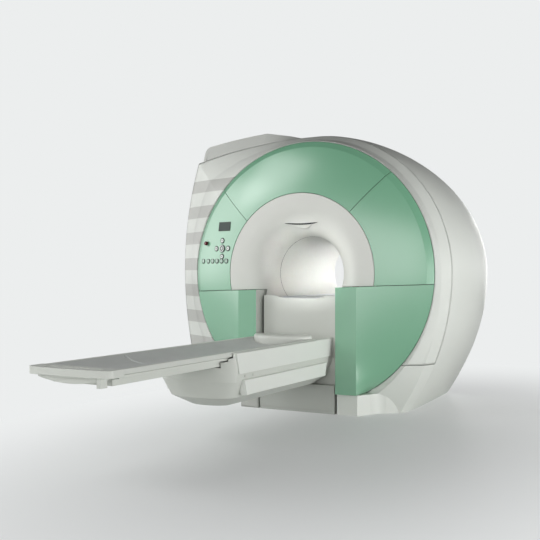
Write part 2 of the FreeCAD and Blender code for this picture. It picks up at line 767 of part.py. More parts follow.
def funnelSolid(outerRadius, joinY, sign):
    """Revolved funnel wall with a flat rim; sign is -1 at the front and +1 at the rear."""
    r0 = boreRadius
    centre = r0 + bell
    faceY = joinY + sign * bell
    faceIn = faceY - sign * bw
    d = math.sqrt(0.5)

    def turn(radius, start, end):
        mid = Vector(centre - radius * d, joinY + sign * radius * d, 0)
        return Part.Arc(start, mid, end).toShape()

    rim = [Vector(outerRadius, faceY, 0), Vector(centre, faceY, 0), Vector(r0, joinY, 0),
           Vector(r0 + bw, joinY, 0), Vector(centre, faceIn, 0), Vector(outerRadius, faceIn, 0)]
    edges = [turn(bell, rim[1], rim[2]), turn(bell - bw, rim[3], rim[4])]
    for i, j in ((0, 1), (2, 3), (4, 5), (5, 0)):
        edges.append(Part.LineSegment(rim[i], rim[j]).toShape())
    wire = Part.Wire(Part.__sortEdges__(edges))
    solid = Part.Face(wire).revolve(Vector(0, 0, 0), Vector(0, 1, 0), 360)
    if solid.Volume < 0:
        solid.reverse()
    solid.translate(Vector(0, 0, isoZ))
    return solid


joinFront = -linerHalf - seat
ringSide = ringInner
funnel = funnelSolid(ringSide, joinFront, -1)
rimTube = boreRod(ringSide, joinFront - bell, back).cut(boreRod(ringSide - bw, lowerFront - 50, 0))
funnel = funnel.fuse(rimTube)
funnel = funnel.removeSplitter()
floorCut = trackTop - trackPlate - seat
deckRoom = slab(-far, far, -far, joinFront + 1, -1, floorCut)
midBay = slab(-bayHalf + 12, bayHalf - 12, -far, frameFace + 21, trackTop + seat, far)
funnelBay = tilted(gap, False).common(slab(-far, far, -far, frameFace + 20, -1, far)).cut(midBay)
funnel = funnel.cut(funnelBay).cut(deckRoom)
# light slit over the bore: a lens between two arcs, radius = (half^2 + rise^2) / (2 rise)
slitZ = isoZ + slitHeight
slitRise = slitHigh / 2
slitArc = (slitHalf ** 2 + slitRise ** 2) / (2 * slitRise)
slitStart = joinFront - bell - 80
lens = [Part.makeCylinder(slitArc, 200, Vector(0, slitStart, slitZ + side * (slitArc - slitRise)),
                          Vector(0, 1, 0)) for side in (-1, 1)]
keep("front_funnel", feature("FrontFunnel", funnel.cut(lens[0].common(lens[1]))))

# cover frame: the plate behind the ring and funnel that their flanges seat on
frame = boreRod(shellEdge - wall - seat, back, back + frameThick)
frame = frame.common(coverLoft([(back - 1,) + FRONT[0][1:], (back + frameThick + 1,) + FRONT[0][1:]],
                               inset=wall + 4 * seat, ruled=True, low=frameFoot))
frame = frame.cut(boreRod(ringInner - 40, back - 1, back + 20))
frame = frame.cut(slab(-bayHalf, bayHalf, back - 1, back + 20, -1, lowerTop + 40))
legs = [slab(sgn * 470 - 40, sgn * 470 + 40, back, back + frameThick, 0, 400) for sgn in (-1, 1)]
spacers = []
for degrees in (20, 65, 115, 160, 205, 335):
    turn = math.radians(degrees)
    spacers.append(Part.makeCylinder(
        22, -vesselHalf - seat - back,
        Vector(760 * math.cos(turn), back, isoZ + 760 * math.sin(turn)), Vector(0, 1, 0)))
keep("cover_frame", feature("CoverFrame", frame.fuse(legs + spacers).removeSplitter()))

# side covers: barrel shells that meet over the bore, with a recessed rim as the visible joint
rim = 4.0
rimStart = seamFace + seat
outerBarrel = coverLoft([(rimStart + rim,) + BARREL[0][1:]] + BARREL[1:3]
                        + [(rearFace - seat,) + BARREL[3][1:]])
rimBand = coverLoft([(rimStart,) + BARREL[0][1:], (rimStart + rim + 2,) + BARREL[0][1:]],
                    inset=rim, ruled=True)
innerBarrel = coverLoft([(rimStart - 1,) + BARREL[0][1:]] + BARREL[1:3] + [(rearFace + 1,) + BARREL[3][1:]],
                        inset=wall, low=-1.0)
barrel = outerBarrel.fuse(rimBand).cut(innerBarrel)
keep("side_cover_right", feature("SideCoverRight", barrel.common(slab(seat / 2, far, -far, far, -1, far))))
keep("side_cover_left", feature("SideCoverLeft", barrel.common(slab(-far, -seat / 2, -far, far, -1, far))))

# crest cover over the service turret, left of the top
crestFoot = 765  # lower edge over the isocentre, inside the side covers
RIDGE = [(-1196, crestFoot), (-1193, 1055), (-1122, 1135), (-850, 1179), (-548, 1211), (-330, 1173),
         (-60, 1111), (-60, 815)]
BROW = [(-1156, crestFoot), (-1152, 977), (-1120, 999), (-850, 1055), (-548, 1101), (-330, 1121),
        (-60, 1105), (-60, 815)]
TAIL = [(-1150, crestFoot), (-1156, 945), (-1110, 985), (-840, 1035), (-548, 1065), (-330, 1055),
        (-60, 1025), (-60, 815)]


def crestWire(y, outline):
    """Crest section: rounded left shoulder and a swept ridge, closed below."""
    p = [Vector(x, y, isoHeight + z) for x, z in outline]
    edges = [Part.LineSegment(p[0], p[1]).toShape()]
    knee = p[1] * 0.35 + p[2] * 0.65 + Vector(-14, 0, 12)
    edges.append(Part.Arc(p[1], knee, p[2]).toShape())
    edges.append(Part.Arc(p[2], p[3], p[4]).toShape())
    edges.append(Part.LineSegment(p[4], p[5]).toShape())
    edges.append(Part.LineSegment(p[5], p[6]).toShape())
    edges.append(Part.LineSegment(p[6], p[7]).toShape())
    edges.append(Part.LineSegment(p[7], p[0]).toShape())
    return Part.Wire(edges)


crest = Part.makeLoft([crestWire(rimStart + 3, BROW), crestWire(crestFront, RIDGE)], True, True)
crest = crest.fuse(Part.makeLoft([crestWire(crestFront, RIDGE), crestWire(crestBack, RIDGE)], True, True))
crest = crest.fuse(Part.makeLoft([crestWire(crestBack, RIDGE), crestWire(crestTail, TAIL)], True, True))
crest = crest.removeSplitter().cut(coverLoft(BARREL, inset=-seat, low=-1.0))
solids = sorted(crest.Solids, key=lambda one: one.Volume)
keep("crest_cover", feature("CrestCover", solids[-1]))

# rear cover and rear funnel
rearOuter = coverLoft(REAR, ruled=True)
rearInner = coverLoft([(rearFace - 1,) + REAR[0][1:], (rearEnd - wall,) + REAR[1][1:]],
                      inset=wall, low=-1.0, ruled=True)
rear = rearOuter.cut(rearInner).cut(boreRod(rearHole, 0, 1200))
keep("rear_cover", feature("RearCover", rear))
rearFlange = rearEnd - wall - seat
rearJoin = linerHalf + seat
rearBell = funnelSolid(rearHole, rearJoin, 1)
collar = boreRod(rearHole + 30, rearJoin + bell - bw, rearFlange).cut(boreRod(rearHole - 1, 0, 1200))
rearBell = rearBell.fuse(collar).removeSplitter()
rearBell = rearBell.cut(slab(-far, far, 0, 1200, -1, floorCut).common(boreRod(boreRadius + 60, 0, 1200)))
keep("rear_funnel", feature("RearFunnel", rearBell))

# ---- track through the bore ---------------------------------------------------------

trackLow = trackTop - trackPlate
deckFront = panelFace + panelWall + seat
deckBack = rearJoin + bell - bw
r0 = boreRadius - seat
d = math.sqrt(0.5)
hollow = [Vector(0, joinFront - bell, 0), Vector(r0 + bell, joinFront - bell, 0), Vector(r0, joinFront, 0),
          Vector(r0, rearJoin, 0), Vector(r0 + bell, rearJoin + bell, 0), Vector(0, rearJoin + bell, 0)]
hollowEdges = [
    Part.Arc(hollow[1], Vector(r0 + bell - bell * d, joinFront - bell * d, 0), hollow[2]).toShape(),
    Part.Arc(hollow[3], Vector(r0 + bell - bell * d, rearJoin + bell * d, 0), hollow[4]).toShape()]
for i, j in ((0, 1), (2, 3), (4, 5), (5, 0)):
    hollowEdges.append(Part.LineSegment(hollow[i], hollow[j]).toShape())
hollow = Part.Face(Part.Wire(Part.__sortEdges__(hollowEdges))).revolve(Vector(0, 0, 0), Vector(0, 1, 0), 360)
if hollow.Volume < 0:
    hollow.reverse()
hollow.translate(Vector(0, 0, isoZ))
deckHalf = bayHalf - 17
deck = slab(-deckHalf, deckHalf, deckFront, deckBack, trackLow, trackTop)
for sx in (-1, 1):
    x = sx * railX - railWide / 2
    deck = deck.fuse(slab(x, x + railWide, deckFront + 20, deckBack - 20,
                          trackTop, trackTop + railHigh))
keep("bore_track", feature("BoreTrack", deck.common(hollow).removeSplitter()))

doc.recompute()
print("covers done")


# ---- tower --------------------------------------------------------------------------

dipTop = s.panelTop - s.panelDip
keep("tower_panel", padBody("TowerPanel", "XZ", [[
    (-s.panelHalf, s.baseTop + s.seat), (s.panelHalf, s.baseTop + s.seat), (s.panelHalf, s.panelTop),
    (s.dipHalf + 40, s.panelTop), (s.dipHalf - 40, dipTop), (s.dipHalf * 0.4 - 38, dipTop),
    (-s.dipHalf + 40, dipTop), (-s.dipHalf - 40, s.panelTop), (-s.panelHalf, s.panelTop)]],
    s.panelWall, y=s.panelFace, reverse=True))

keep("tower_base", padBody("BaseBox", "YZ", [[
    (s.baseFace + s.plinthBack, 0), (s.panelFace + s.panelWall, 0),
    (s.panelFace + s.panelWall, s.baseTop), (s.baseFace + 6, s.baseTop), (s.baseFace + 1.8, s.baseTop - 1.8),
    (s.baseFace, s.baseTop - 6), (s.baseFace, s.plinth), (s.baseFace + s.plinthBack, s.plinth)]],
    s.panelHalf * 2, x=-s.panelHalf))

# tower frame: floor plate, two columns and a head bar, standing behind the panel
columnFace = s.panelFace + s.panelWall + 102
frameItems = [box("FrameFloor", -s.panelHalf + 6, s.panelFace + s.panelWall + s.seat, 0,
                  s.panelHalf * 2 - 12,
                  columnFace + s.columnDeep - (s.panelFace + s.panelWall + s.seat), 18),
              box("FrameHead", -s.panelHalf + 6, columnFace, s.columnTop - s.headBar, s.panelHalf * 2 - 12,
                  s.columnDeep, s.headBar)]
for tag, sx in (("L", -1), ("R", 1)):
    frameItems.append(box("Column" + tag, s.columnX * sx - s.columnWide / 2, columnFace, 18,
                          s.columnWide, s.columnDeep, s.columnTop - 18))
    frameItems.append(box("PanelTie" + tag, s.columnX * sx + s.guideWide * sx - 5, s.panelFace + s.panelWall,
                          s.baseTop + 18, 10, columnFace - (s.panelFace + s.panelWall), 60))
for tag, z, high in (("Low", 222, 18), ("High", s.columnTop - s.headBar, 22)):
    frameItems.append(box("Bearing" + tag, -32, s.screwY - 24, z, 64, columnFace - (s.screwY - 24), high))
frameItems.append(box("BearingPost", -32, columnFace, 18, 64, 12, s.columnTop - 18))
keep("tower_frame", cut("TowerFrame", fuse("TowerFrameSum", frameItems), [
    rod("BearingBore", 0, s.screwY, 200, s.screwRadius * 0.75 + s.screwClear, 700)]))

railLow = 60
for name, sx in (("guide_rail_left", -1), ("guide_rail_right", 1)):
    keep(name, box(name.title().replace("_", ""), s.columnX * sx - s.guideWide / 2, columnFace - s.guideDeep,
                   railLow, s.guideWide, s.guideDeep, s.columnTop - railLow - 30))

# lift motor under the screw, screw in two bearings
motor = fuse("LiftMotorBody", [
    rod("MotorCan", 0, s.screwY, 18, s.motorRadius * 0.62, 150),
    box("MotorGear", -s.motorRadius * 0.6, s.screwY - s.motorRadius * 0.6, 168,
        s.motorRadius * 1.2, s.motorRadius * 1.2, 48)])
keep("lift_motor", motor)
neck = s.screwRadius * 0.75
keep("lift_screw", fuse("LiftScrew", [
    rod("ScrewNeckLow", 0, s.screwY, 216.3, neck, 25),
    rod("ScrewBody", 0, s.screwY, 240.5, s.screwRadius, s.columnTop - s.headBar - 0.5 - 240.5),
    rod("ScrewNeckHigh", 0, s.screwY, s.columnTop - 29, neck, 20)]))

# ---- lift carriage: plate at the table, two arms through the bay's side gaps, plate and nut inside
carrierFront = s.hullFoot + s.seat
arms = []
innerPlateY = columnFace - s.guideDeep - s.seat - s.carrierThick
for tag, sx in (("L", -1), ("R", 1)):
    x = s.armX * sx if sx > 0 else -s.armX - s.armThick
    arms.append(box("Arm" + tag, x, carrierFront, s.carrierLow, s.armThick,
                    innerPlateY + s.carrierThick - carrierFront, s.carrierHigh - s.carrierLow))
    arms.append(box("Shoe" + tag, s.columnX * sx - s.blockWide / 2, innerPlateY, s.carrierLow,
                    s.blockWide, s.guideDeep + s.carrierThick, s.carrierHigh - s.carrierLow))
carriage = fuse("CarriageSum", arms + [
    box("CarriagePlate", -s.armX, carrierFront, s.carrierLow, s.armX * 2, s.carrierThick,
        s.carrierHigh - s.carrierLow),
    box("CarriageBack", -s.armX, innerPlateY, s.carrierLow, s.armX * 2, s.carrierThick,
        s.carrierHigh - s.carrierLow),
    box("CarriageNut", -34, s.screwY - 30, s.carrierLow + 10, 68, innerPlateY - (s.screwY - 30), 70)])
grooves = [rod("NutBore", 0, s.screwY, s.carrierLow, s.screwRadius + s.screwClear, 100)]
for tag, sx in (("L", -1), ("R", 1)):
    grooves.append(box("Groove" + tag, s.columnX * sx - s.guideWide / 2 - s.seat,
                       columnFace - s.guideDeep - s.seat, s.carrierLow - 1,
                       s.guideWide + s.seat * 2, 60, s.carrierHigh - s.carrierLow + 2))
keep("lift_carriage", cut("LiftCarriage", carriage, grooves))

# ---- table support ------------------------------------------------------------------

# levels of the support: height, half width, start of the nose, length of the nose
HULL = [
    (hullTop, hullHalf, noseStart, 105.0),
    (hullTop - 189.0, hullHalf - 14, noseStart + 25, 100.0),
    (hullTop - 297.0, hullHalf - 60, noseStart + 65, 105.0),
    (hullTop - 361.0, hullHalf - 160, noseStart + 155, 74.0),
]


def hullWire(z, half, start, nose, grow=0.0):
    """Plan of the support at one level: straight sides and a half-oval nose."""
    foot = hullFoot
    w = half + grow
    oval = Part.Ellipse(Vector(w, start, z), Vector(0, start - nose - grow, z), Vector(0, start, z)) \
        if w >= nose + grow else \
        Part.Ellipse(Vector(0, start - nose - grow, z), Vector(w, start, z), Vector(0, start, z))
    right = oval.parameter(Vector(w, start, z))
    tip = oval.parameter(Vector(0, start - nose - grow, z))
    left = oval.parameter(Vector(-w, start, z))
    edges = []
    for a, b in ((right, tip), (tip, left)):
        lo, hi = (a, b) if 0 < (b - a) % (2 * math.pi) < math.pi else (b, a)
        edges.append(Part.ArcOfEllipse(oval, lo, hi if hi > lo else hi + 2 * math.pi).toShape())
    edges.append(Part.LineSegment(Vector(-w, start, z), Vector(-w, foot, z)).toShape())
    edges.append(Part.LineSegment(Vector(-w, foot, z), Vector(w, foot, z)).toShape())
    edges.append(Part.LineSegment(Vector(w, foot, z), Vector(w, start, z)).toShape())
    return Part.Wire(Part.__sortEdges__(edges))


def tableProfile(grow):
    """Half-symmetric stepped section of the table board, grown by a gap."""
    w = tableHalf + grow
    top = tableTop
    z1 = top - ridgeOne - grow
    w2 = w - ridgeStep
    z2 = z1 - ridgeTwo
    w3 = w2 - ridgeStep * 1.7
    under = tableUnder - grow
    return [(w, top), (w, z1), (w2, z1 - 9), (w2, z2), (w3, z2 - 6), (w3, under)]


hull = Part.makeLoft([hullWire(*row) for row in HULL], True, True)
profile = tableProfile(channelGap)
channel = [(x, z) for x, z in profile] + [(-x, z) for x, z in reversed(profile)]
channel = [(channel[0][0], 700.0)] + channel + [(channel[-1][0], 700.0)]
channel = prismY(channel, -2700, hullFoot + 1)
beamRoom = slab(-beamHalf - seat, beamHalf + seat, beamHead - seat,
                hullFoot + 1, beamLow - seat, beamHigh + seat)
hull = hull.cut(channel).cut(beamRoom)
ROLLERS = (noseStart + 60, noseStart + 900)
rollZ = tableUnder - seat - rollerRadius
rollHalf = rollerHalf
for y in ROLLERS:
    hull = hull.cut(slab(-rollHalf - 1, rollHalf + 1, y - 30, y + 30, rollZ - 24, 520))
    hull = hull.cut(Part.makeCylinder(6.05, 2 * rollHalf + 28, Vector(-rollHalf - 14, y, rollZ),
                                      Vector(1, 0, 0)))
keep("table_support", feature("TableSupport", hull))

beam = padBody("TableBeam", "XZ", [
    [(-s.beamHalf, s.beamLow), (s.beamHalf, s.beamLow), (s.beamHalf, s.beamHigh), (-s.beamHalf, s.beamHigh)],
    [(-s.beamHalf + s.beamWall, s.beamLow + s.beamWall), (s.beamHalf - s.beamWall, s.beamLow + s.beamWall),
     (s.beamHalf - s.beamWall, s.beamHigh - s.beamWall),
     (-s.beamHalf + s.beamWall, s.beamHigh - s.beamWall)]],
    s.hullFoot + s.seat - s.beamHead, y=s.beamHead, reverse=True)
keep("table_beam", beam)

# side bands, raised from the support, with slanted outer ends
bandRows = (
    # name, lower and upper edge, outer end below and above, inner end below and above
    ("band_upper", hullTop - 137, hullTop - 3, noseStart + 28, noseStart - 19, hullFoot - 28, hullFoot - 28),
    ("band_lower", hullTop - 279, hullTop - 179, noseStart - 1, noseStart - 32,
     hullFoot - 162, hullFoot - 138))
hullSkin = Part.makeLoft([hullWire(*row) for row in HULL], True, True)
bandSkin = Part.makeLoft([hullWire(*row, bandProud) for row in HULL], True, True)
for stem, low, high, headLow, headHigh, footLow, footHigh in bandRows:
    for side, sx in (("right", 1), ("left", -1)):
        plan = [(headLow, low), (footLow, low), (footHigh, high), (headHigh, high)]
        wire = Part.makePolygon([Vector(0, y, z) for y, z in plan + plan[:1]])
        strip = Part.Face(wire).extrude(Vector(sx * (hullHalf + bandProud), 0, 0))
        strip = strip.common(bandSkin).cut(hullSkin).cut(slab(-200, 200, tableHead, 0, 0, hullTop))
        name = stem + "_" + side
        keep(name, feature(name.title().replace("_", ""), strip))

# oval caps over the support's side screws, in the recess between the bands
caps = []
for sx in (-1, 1):
    for y in (noseStart + 111, noseStart + 211):
        cap = Part.makeCylinder(9, 12, Vector(sx * (hullHalf - 20), y, hullTop - 158), Vector(sx, 0, 0))
        caps.append(cap.cut(hullSkin))
keep("screw_caps", feature("ScrewCaps", Part.makeCompound(caps)))

# ---- table top ----------------------------------------------------------------------

board = tableProfile(0.0)
sag = troughDeep
half = troughHalf


def troughArc(w, top, deep, y):
    return arcThrough((w, y, top), (0, y, top - deep), (-w, y, top))


def boardWire(y):
    left = [(-x, z) for x, z in reversed(board)]
    right = board
    edges = [troughArc(half, tableTop - 3, sag, y)]
    path = [(half, tableTop - 3), (half, tableTop)] + right + left + \
           [(-half, tableTop), (-half, tableTop - 3)]
    for a, b in zip(path[:-1], path[1:]):
        edges.append(Part.LineSegment(Vector(a[0], y, a[1]), Vector(b[0], y, b[1])).toShape())
    return Part.Wire(edges)


length = tableFoot - tableHead
boardSolid = Part.Face(boardWire(tableHead)).extrude(Vector(0, length, 0))
boardSolid = boardSolid.common(slab(-400, 400, tableHead, tableFoot, 0, 900))
keep("table_board", feature("TableBoard", boardSolid))


def padSolid(y0, y1, lift=seat):
    """Mattress length: the trough's arc below and a flatter hollow above."""
    w = half - 2
    low = tableTop - 3 + lift
    high = low + padEdge
    edges = [troughArc(w, low, sag, y0), troughArc(w, high, padSag, y0)]
    for sx in (-1, 1):
        edges.append(Part.LineSegment(Vector(sx * w, y0, low), Vector(sx * w, y0, high)).toShape())
    face = Part.Face(Part.Wire(Part.__sortEdges__(edges)))
    return face.extrude(Vector(0, y1 - y0, 0))


def bow(y, deep):
    """Region beyond an upright arc through (0, y) that reaches y + deep at the trough's sides."""
    ends = [(-half, y + deep, 400.0), (-half, y + 3000, 400.0),
            (half, y + 3000, 400.0), (half, y + deep, 400.0)]
    edges = [arcThrough(ends[3], (0, y, 400.0), ends[0])]
    for a, b in zip(ends[:-1], ends[1:]):
        edges.append(Part.LineSegment(Vector(*a), Vector(*b)).toShape())
    return Part.Face(Part.Wire(Part.__sortEdges__(edges))).extrude(Vector(0, 0, 300))


padHead = tableHead + 3
padEnd = padFoot
headBow = bow(padJoint, 90)
bodyPad = padSolid(padHead, tableFoot - 25).common(headBow)
footBow = bow(padEnd, footRoom)
keep("mattress_body", feature("MattressBody", bodyPad.cut(footBow)))
keep("mattress_head", feature("MattressHead", padSolid(padHead, padJoint + 345).cut(bow(padJoint - 2, 90))))

# end lip: a disc's segment that closes the trough's inner end, rounded over towards the mattress
lipHalf = half - 3
lipTop = tableTop + lipHigh
lipY = padEnd + lipFront
lipBack = tableFoot - 2
lipBow = lipBack - lipY
lipRadius = (lipHalf ** 2 + lipBow ** 2) / (2 * lipBow)
rimPoints = [Vector(0, 0, tableUnder), Vector(lipRadius, 0, tableUnder),
             Vector(lipRadius, 0, lipTop - lipRound), Vector(lipRadius - lipRound, 0, lipTop),
             Vector(0, 0, lipTop)]
cornerIn = lipRound * (1 - math.sqrt(0.5))
shoulderPoint = Vector(lipRadius - cornerIn, 0, lipTop - cornerIn)
rimEdges = [Part.Arc(rimPoints[2], shoulderPoint, rimPoints[3]).toShape()]
for i, j in ((0, 1), (1, 2), (3, 4), (4, 0)):
    rimEdges.append(Part.LineSegment(rimPoints[i], rimPoints[j]).toShape())
lip = Part.Face(Part.Wire(Part.__sortEdges__(rimEdges))).revolve(Vector(0, 0, 0), Vector(0, 0, 1), 360)
if lip.Volume < 0:
    lip.reverse()
lip.translate(Vector(0, lipY + lipRadius, 0))
lip = lip.common(slab(-lipHalf, lipHalf, lipY - 1, lipBack, tableUnder, lipTop + 1))
troughTop = tableTop - 3 + seat
underY = lipY - 10
underPath = [(half, troughTop), (half, tableUnder - 9), (-half, tableUnder - 9), (-half, troughTop)]
underEdges = [troughArc(half, troughTop, sag, underY)]
for (x0, z0), (x1, z1) in zip(underPath[:-1], underPath[1:]):
    underEdges.append(Part.LineSegment(Vector(x0, underY, z0), Vector(x1, underY, z1)).toShape())
under = Part.Face(Part.Wire(Part.__sortEdges__(underEdges))).extrude(Vector(0, footRoom + 20, 0))
keep("end_lip", feature("EndLip", largest(lip.cut(under))))

# head cap: rounded slab with a grip slot, bowed front edge, lower lip and a buffer foot
capTop = tableTop + 2
capLow = capTop - capHigh
capIn = tableHead - seat
w = tableHalf + 6
radius = (w ** 2 + capCrown ** 2) / (2 * capCrown)
capPlan = slab(-w, w, capEnd - capCrown, capIn, capLow, capTop)
capPlan = capPlan.common(Part.makeCylinder(radius, 200, Vector(0, capEnd - capCrown + radius, capLow - 50)))
corners = [e for e in capPlan.Edges
           if abs(e.BoundBox.ZLength - capHigh) < 0.1 and e.BoundBox.YMin < capEnd + 30]
cap = capPlan.makeFillet(capRound, corners)
grip = Part.makeBox(2 * slotHalf - slotWide, slotWide, 200,
                    Vector(-slotHalf + slotWide / 2, slotY - slotWide / 2, 450))
for sx in (-1, 1):
    grip = grip.fuse(Part.makeCylinder(slotWide / 2, 200,
                                       Vector(sx * (slotHalf - slotWide / 2), slotY, 450)))
lower = Part.makeCylinder(capLipArc, capLipReach, Vector(0, tableHead - capLipReach, capLipLow + capLipArc),
                          Vector(0, 1, 0)).common(
    slab(-capLipLeft, capLipRight, tableHead - capLipReach, capIn, capLipLow - 1, capLow))
bufferFoot = slab(capLipRight, capLipRight + 28, slotY - 38, slotY + 14, capFootLow, capLow)
cap = cap.fuse([lower, bufferFoot]).cut(grip)
keep("head_cap", feature("HeadCap", cap.removeSplitter()))

# support rollers with their shafts
for i, y in enumerate(ROLLERS, start=1):
    keep("support_roller_%d" % i, fuse("SupportRoller%d" % i, [
        rod("Roller%d" % i, -s.rollerHalf, y, rollZ, s.rollerRadius, s.rollerHalf * 2, ALONG_X),
        rod("RollerPin%d" % i, -s.rollerHalf - 13, y, rollZ, 6, s.rollerHalf * 2 + 26, ALONG_X)]))

print("table done")


# ---- controls on the ring -----------------------------------------------------------

def ringDepth(x, z):
    """Depth of the ring's dome at a point, from its arc through lip, crown and shoulder."""
    ax, ay = ringIn, ringLip
    cx, cy = shoulder, ringShoulder
    bx, by = (ringIn + shoulder) / 2, (ay + cy) / 2 - 13
    chord = math.hypot(cx - ax, cy - ay)
    rise = abs((cx - ax) * (ay - by) - (ax - bx) * (cy - ay)) / chord
    radius = (chord ** 2 / 4 + rise ** 2) / (2 * rise)
    ux, uy = (cx - ax) / chord, (cy - ay) / chord
    mx, my = (ax + cx) / 2, (ay + cy) / 2
    ox, oy = mx - uy * (radius - rise), my + ux * (radius - rise)
    r = math.hypot(x, z - isoZ)
    y = oy - math.sqrt(radius ** 2 - (r - ox) ** 2)
    normal = Vector((r - ox) / radius * x / r, (y - oy) / radius, (r - ox) / radius * (z - isoZ) / r)
    return y, normal


def onRing(shape, x, z, spin=0.0):
    """Set a shape made along +Z at the origin onto the ring, standing out of its face."""
    y, normal = ringDepth(x, z)
    across = Vector(0, 0, 1).cross(normal).normalize() * -1
    up = normal.cross(across) * -1
    turn = Rotation(across, up, normal, "ZXY")
    moved = shape.copy()
    moved.Placement = Placement(Vector(x, y, z), turn)
    return moved, normal


keyClear = 0.3
keyDeep = 12.0


def knob(radius, low, high, round_):
    """Button from inside the cover to its rounded cap."""
    body = Part.makeCylinder(radius, high - low, Vector(0, 0, low))
    top = [e for e in body.Edges
           if abs(e.BoundBox.ZMin - high) < 0.01 and abs(e.BoundBox.ZMax - high) < 0.01]
    return body.makeFillet(round_, top)


keys = []
for name, angle in (("key_up", 90), ("key_down", 270), ("key_out", 180), ("key_in", 0)):
    turn = math.radians(angle)
    keys.append((name, dialX + keyCircle * math.cos(turn), dialZ + keyCircle * math.sin(turn),
                 keyRadius, 5.0))
keys.append(("row_key_1", rowKeyAlone, rowKeyZ, rowKeyRadius, 4.0))
for i in range(5):
    keys.append(("row_key_%d" % (i + 2), rowKeyStart + i * rowKeyStep, rowKeyZ,
                 rowKeyRadius, 4.0))

holes = []
bosses = []
axes = {}
for name, x, z, radius, proud in keys:
    piece, normal = onRing(knob(radius, -keyDeep, proud, 2.5), x, z)
    keep(name, feature(name.title().replace("_", ""), piece))
    floor = keyDeep + keyTravel + seat
    holes.append(onRing(Part.makeCylinder(radius + keyClear, floor + 30, Vector(0, 0, -floor)), x, z)[0])
    bosses.append(onRing(Part.makeCylinder(radius + 4, floor, Vector(0, 0, -floor - 3)), x, z)[0])
    axes[name] = [round(-v, 6) for v in normal]

stop, normal = onRing(knob(stopRadius, 2.0 + stopTravel + 1, 26.0, 7.0).fuse(
    Part.makeCylinder(8, 40, Vector(0, 0, -20))), stopX, stopZ)
keep("stop_button", feature("StopButton", stop))
axes["stop_button"] = [round(-v, 6) for v in normal]
collar = Part.makeCylinder(stopRadius + 8, 30, Vector(0, 0, -28)).cut(
    Part.makeCylinder(8 + seat, 60, Vector(0, 0, -40)))
collar, normal = onRing(collar, stopX, stopZ)
holes.append(onRing(Part.makeCylinder(stopRadius + 8 + seat, 60, Vector(0, 0, -30)),
                    stopX, stopZ)[0])
keep("stop_collar", feature("StopCollar", collar))

dial = Part.makeCylinder(dialRadius, 9).cut(Part.makeCylinder(dialRadius * 0.42, 3, Vector(0, 0, 6.5)))
dial = dial.fuse(Part.makeCylinder(9, 24, Vector(0, 0, -16)))
for i in range(12):
    turn = math.radians(30 * i)
    dial = dial.cut(Part.makeCylinder(3.0, 12, Vector((dialRadius + 1) * math.cos(turn),
                                                      (dialRadius + 1) * math.sin(turn), 2)))
dialLift = Placement(Vector(0, 0, 0.5), Rotation())
dial.Placement = dialLift
dial = dial.copy()
dial, normal = onRing(Part.makeCompound([dial]).Solids[0], dialX, dialZ)
keep("jog_dial", feature("JogDial", dial))
axes["jog_dial"] = [round(v, 6) for v in normal]
holes.append(onRing(Part.makeCylinder(9 + 0.05, 60, Vector(0, 0, -16)), dialX, dialZ)[0])
bosses.append(onRing(Part.makeCylinder(14, 16, Vector(0, 0, -19)), dialX, dialZ)[0])

screen = Part.makeBox(screenWide, screenHigh, 14,
                      Vector(-screenWide / 2, -screenHigh / 2, -11))
screenHole = Part.makeBox(screenWide + 0.6, screenHigh + 0.6, 60,
                          Vector(-screenWide / 2 - 0.3, -screenHigh / 2 - 0.3, -30))
keep("display", feature("Display", onRing(screen, screenX, screenZ)[0]))
holes.append(onRing(screenHole, screenX, screenZ)[0])
ringLeft = ringLeft.fuse(bosses)
ringLeft = ringLeft.cut(holes)
keep("ring_left", feature("RingLeft", ringLeft))

doc.recompute()
print("controls done")

# ---- check and write ----------------------------------------------------------------

os.makedirs("parts", exist_ok=True)
for item in doc.Objects:
    if "Invalid" in item.State or "Error" in item.State:
        raise SystemExit("failed object: " + item.Label)
total = 0
for name, item in sorted(parts.items()):
    shape = item.Shape
    if shape.isNull() or not shape.isValid():
        raise SystemExit("bad shape: " + name)
    total += len(shape.Solids)
    shape.exportStep(os.path.join("parts", name + ".step"))
    b = shape.optimalBoundingBox(False)
    print("%-20s solids %2d volume %12.0f  x %7.1f %7.1f  y %7.1f %7.1f  z %7.1f %7.1f" % (
        name, len(shape.Solids), shape.Volume, b.XMin, b.XMax, b.YMin, b.YMax, b.ZMin, b.ZMax))
    if shape.Volume <= 0:
        raise SystemExit("inside out: " + name)
print("pieces", len(parts), "solids", total)
for name, axis in sorted(axes.items()):
    print("axis", name, axis)
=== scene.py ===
import math
import bmesh
import bpy
import numpy as np
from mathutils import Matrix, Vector


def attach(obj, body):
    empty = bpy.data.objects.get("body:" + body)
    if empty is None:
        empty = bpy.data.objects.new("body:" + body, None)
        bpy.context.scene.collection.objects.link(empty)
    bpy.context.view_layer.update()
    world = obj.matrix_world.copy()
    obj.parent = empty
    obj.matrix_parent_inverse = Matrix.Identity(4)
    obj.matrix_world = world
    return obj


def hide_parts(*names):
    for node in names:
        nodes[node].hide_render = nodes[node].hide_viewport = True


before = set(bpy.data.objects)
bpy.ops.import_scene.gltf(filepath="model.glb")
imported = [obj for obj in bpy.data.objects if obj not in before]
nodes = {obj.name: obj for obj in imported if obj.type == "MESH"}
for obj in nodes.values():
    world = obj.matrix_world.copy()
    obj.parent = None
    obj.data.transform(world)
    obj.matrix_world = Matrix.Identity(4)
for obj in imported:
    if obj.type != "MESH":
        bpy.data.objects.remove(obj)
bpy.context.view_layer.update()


def hexColour(text):
    # sRGB hex to linear: c / 12.92 below 0.04045, else ((c + 0.055) / 1.055) ^ 2.4
    parts = [int(text[i:i + 2], 16) / 255 for i in (1, 3, 5)]
    return tuple(c / 12.92 if c <= 0.04045 else ((c + 0.055) / 1.055) ** 2.4 for c in parts) + (1.0,)


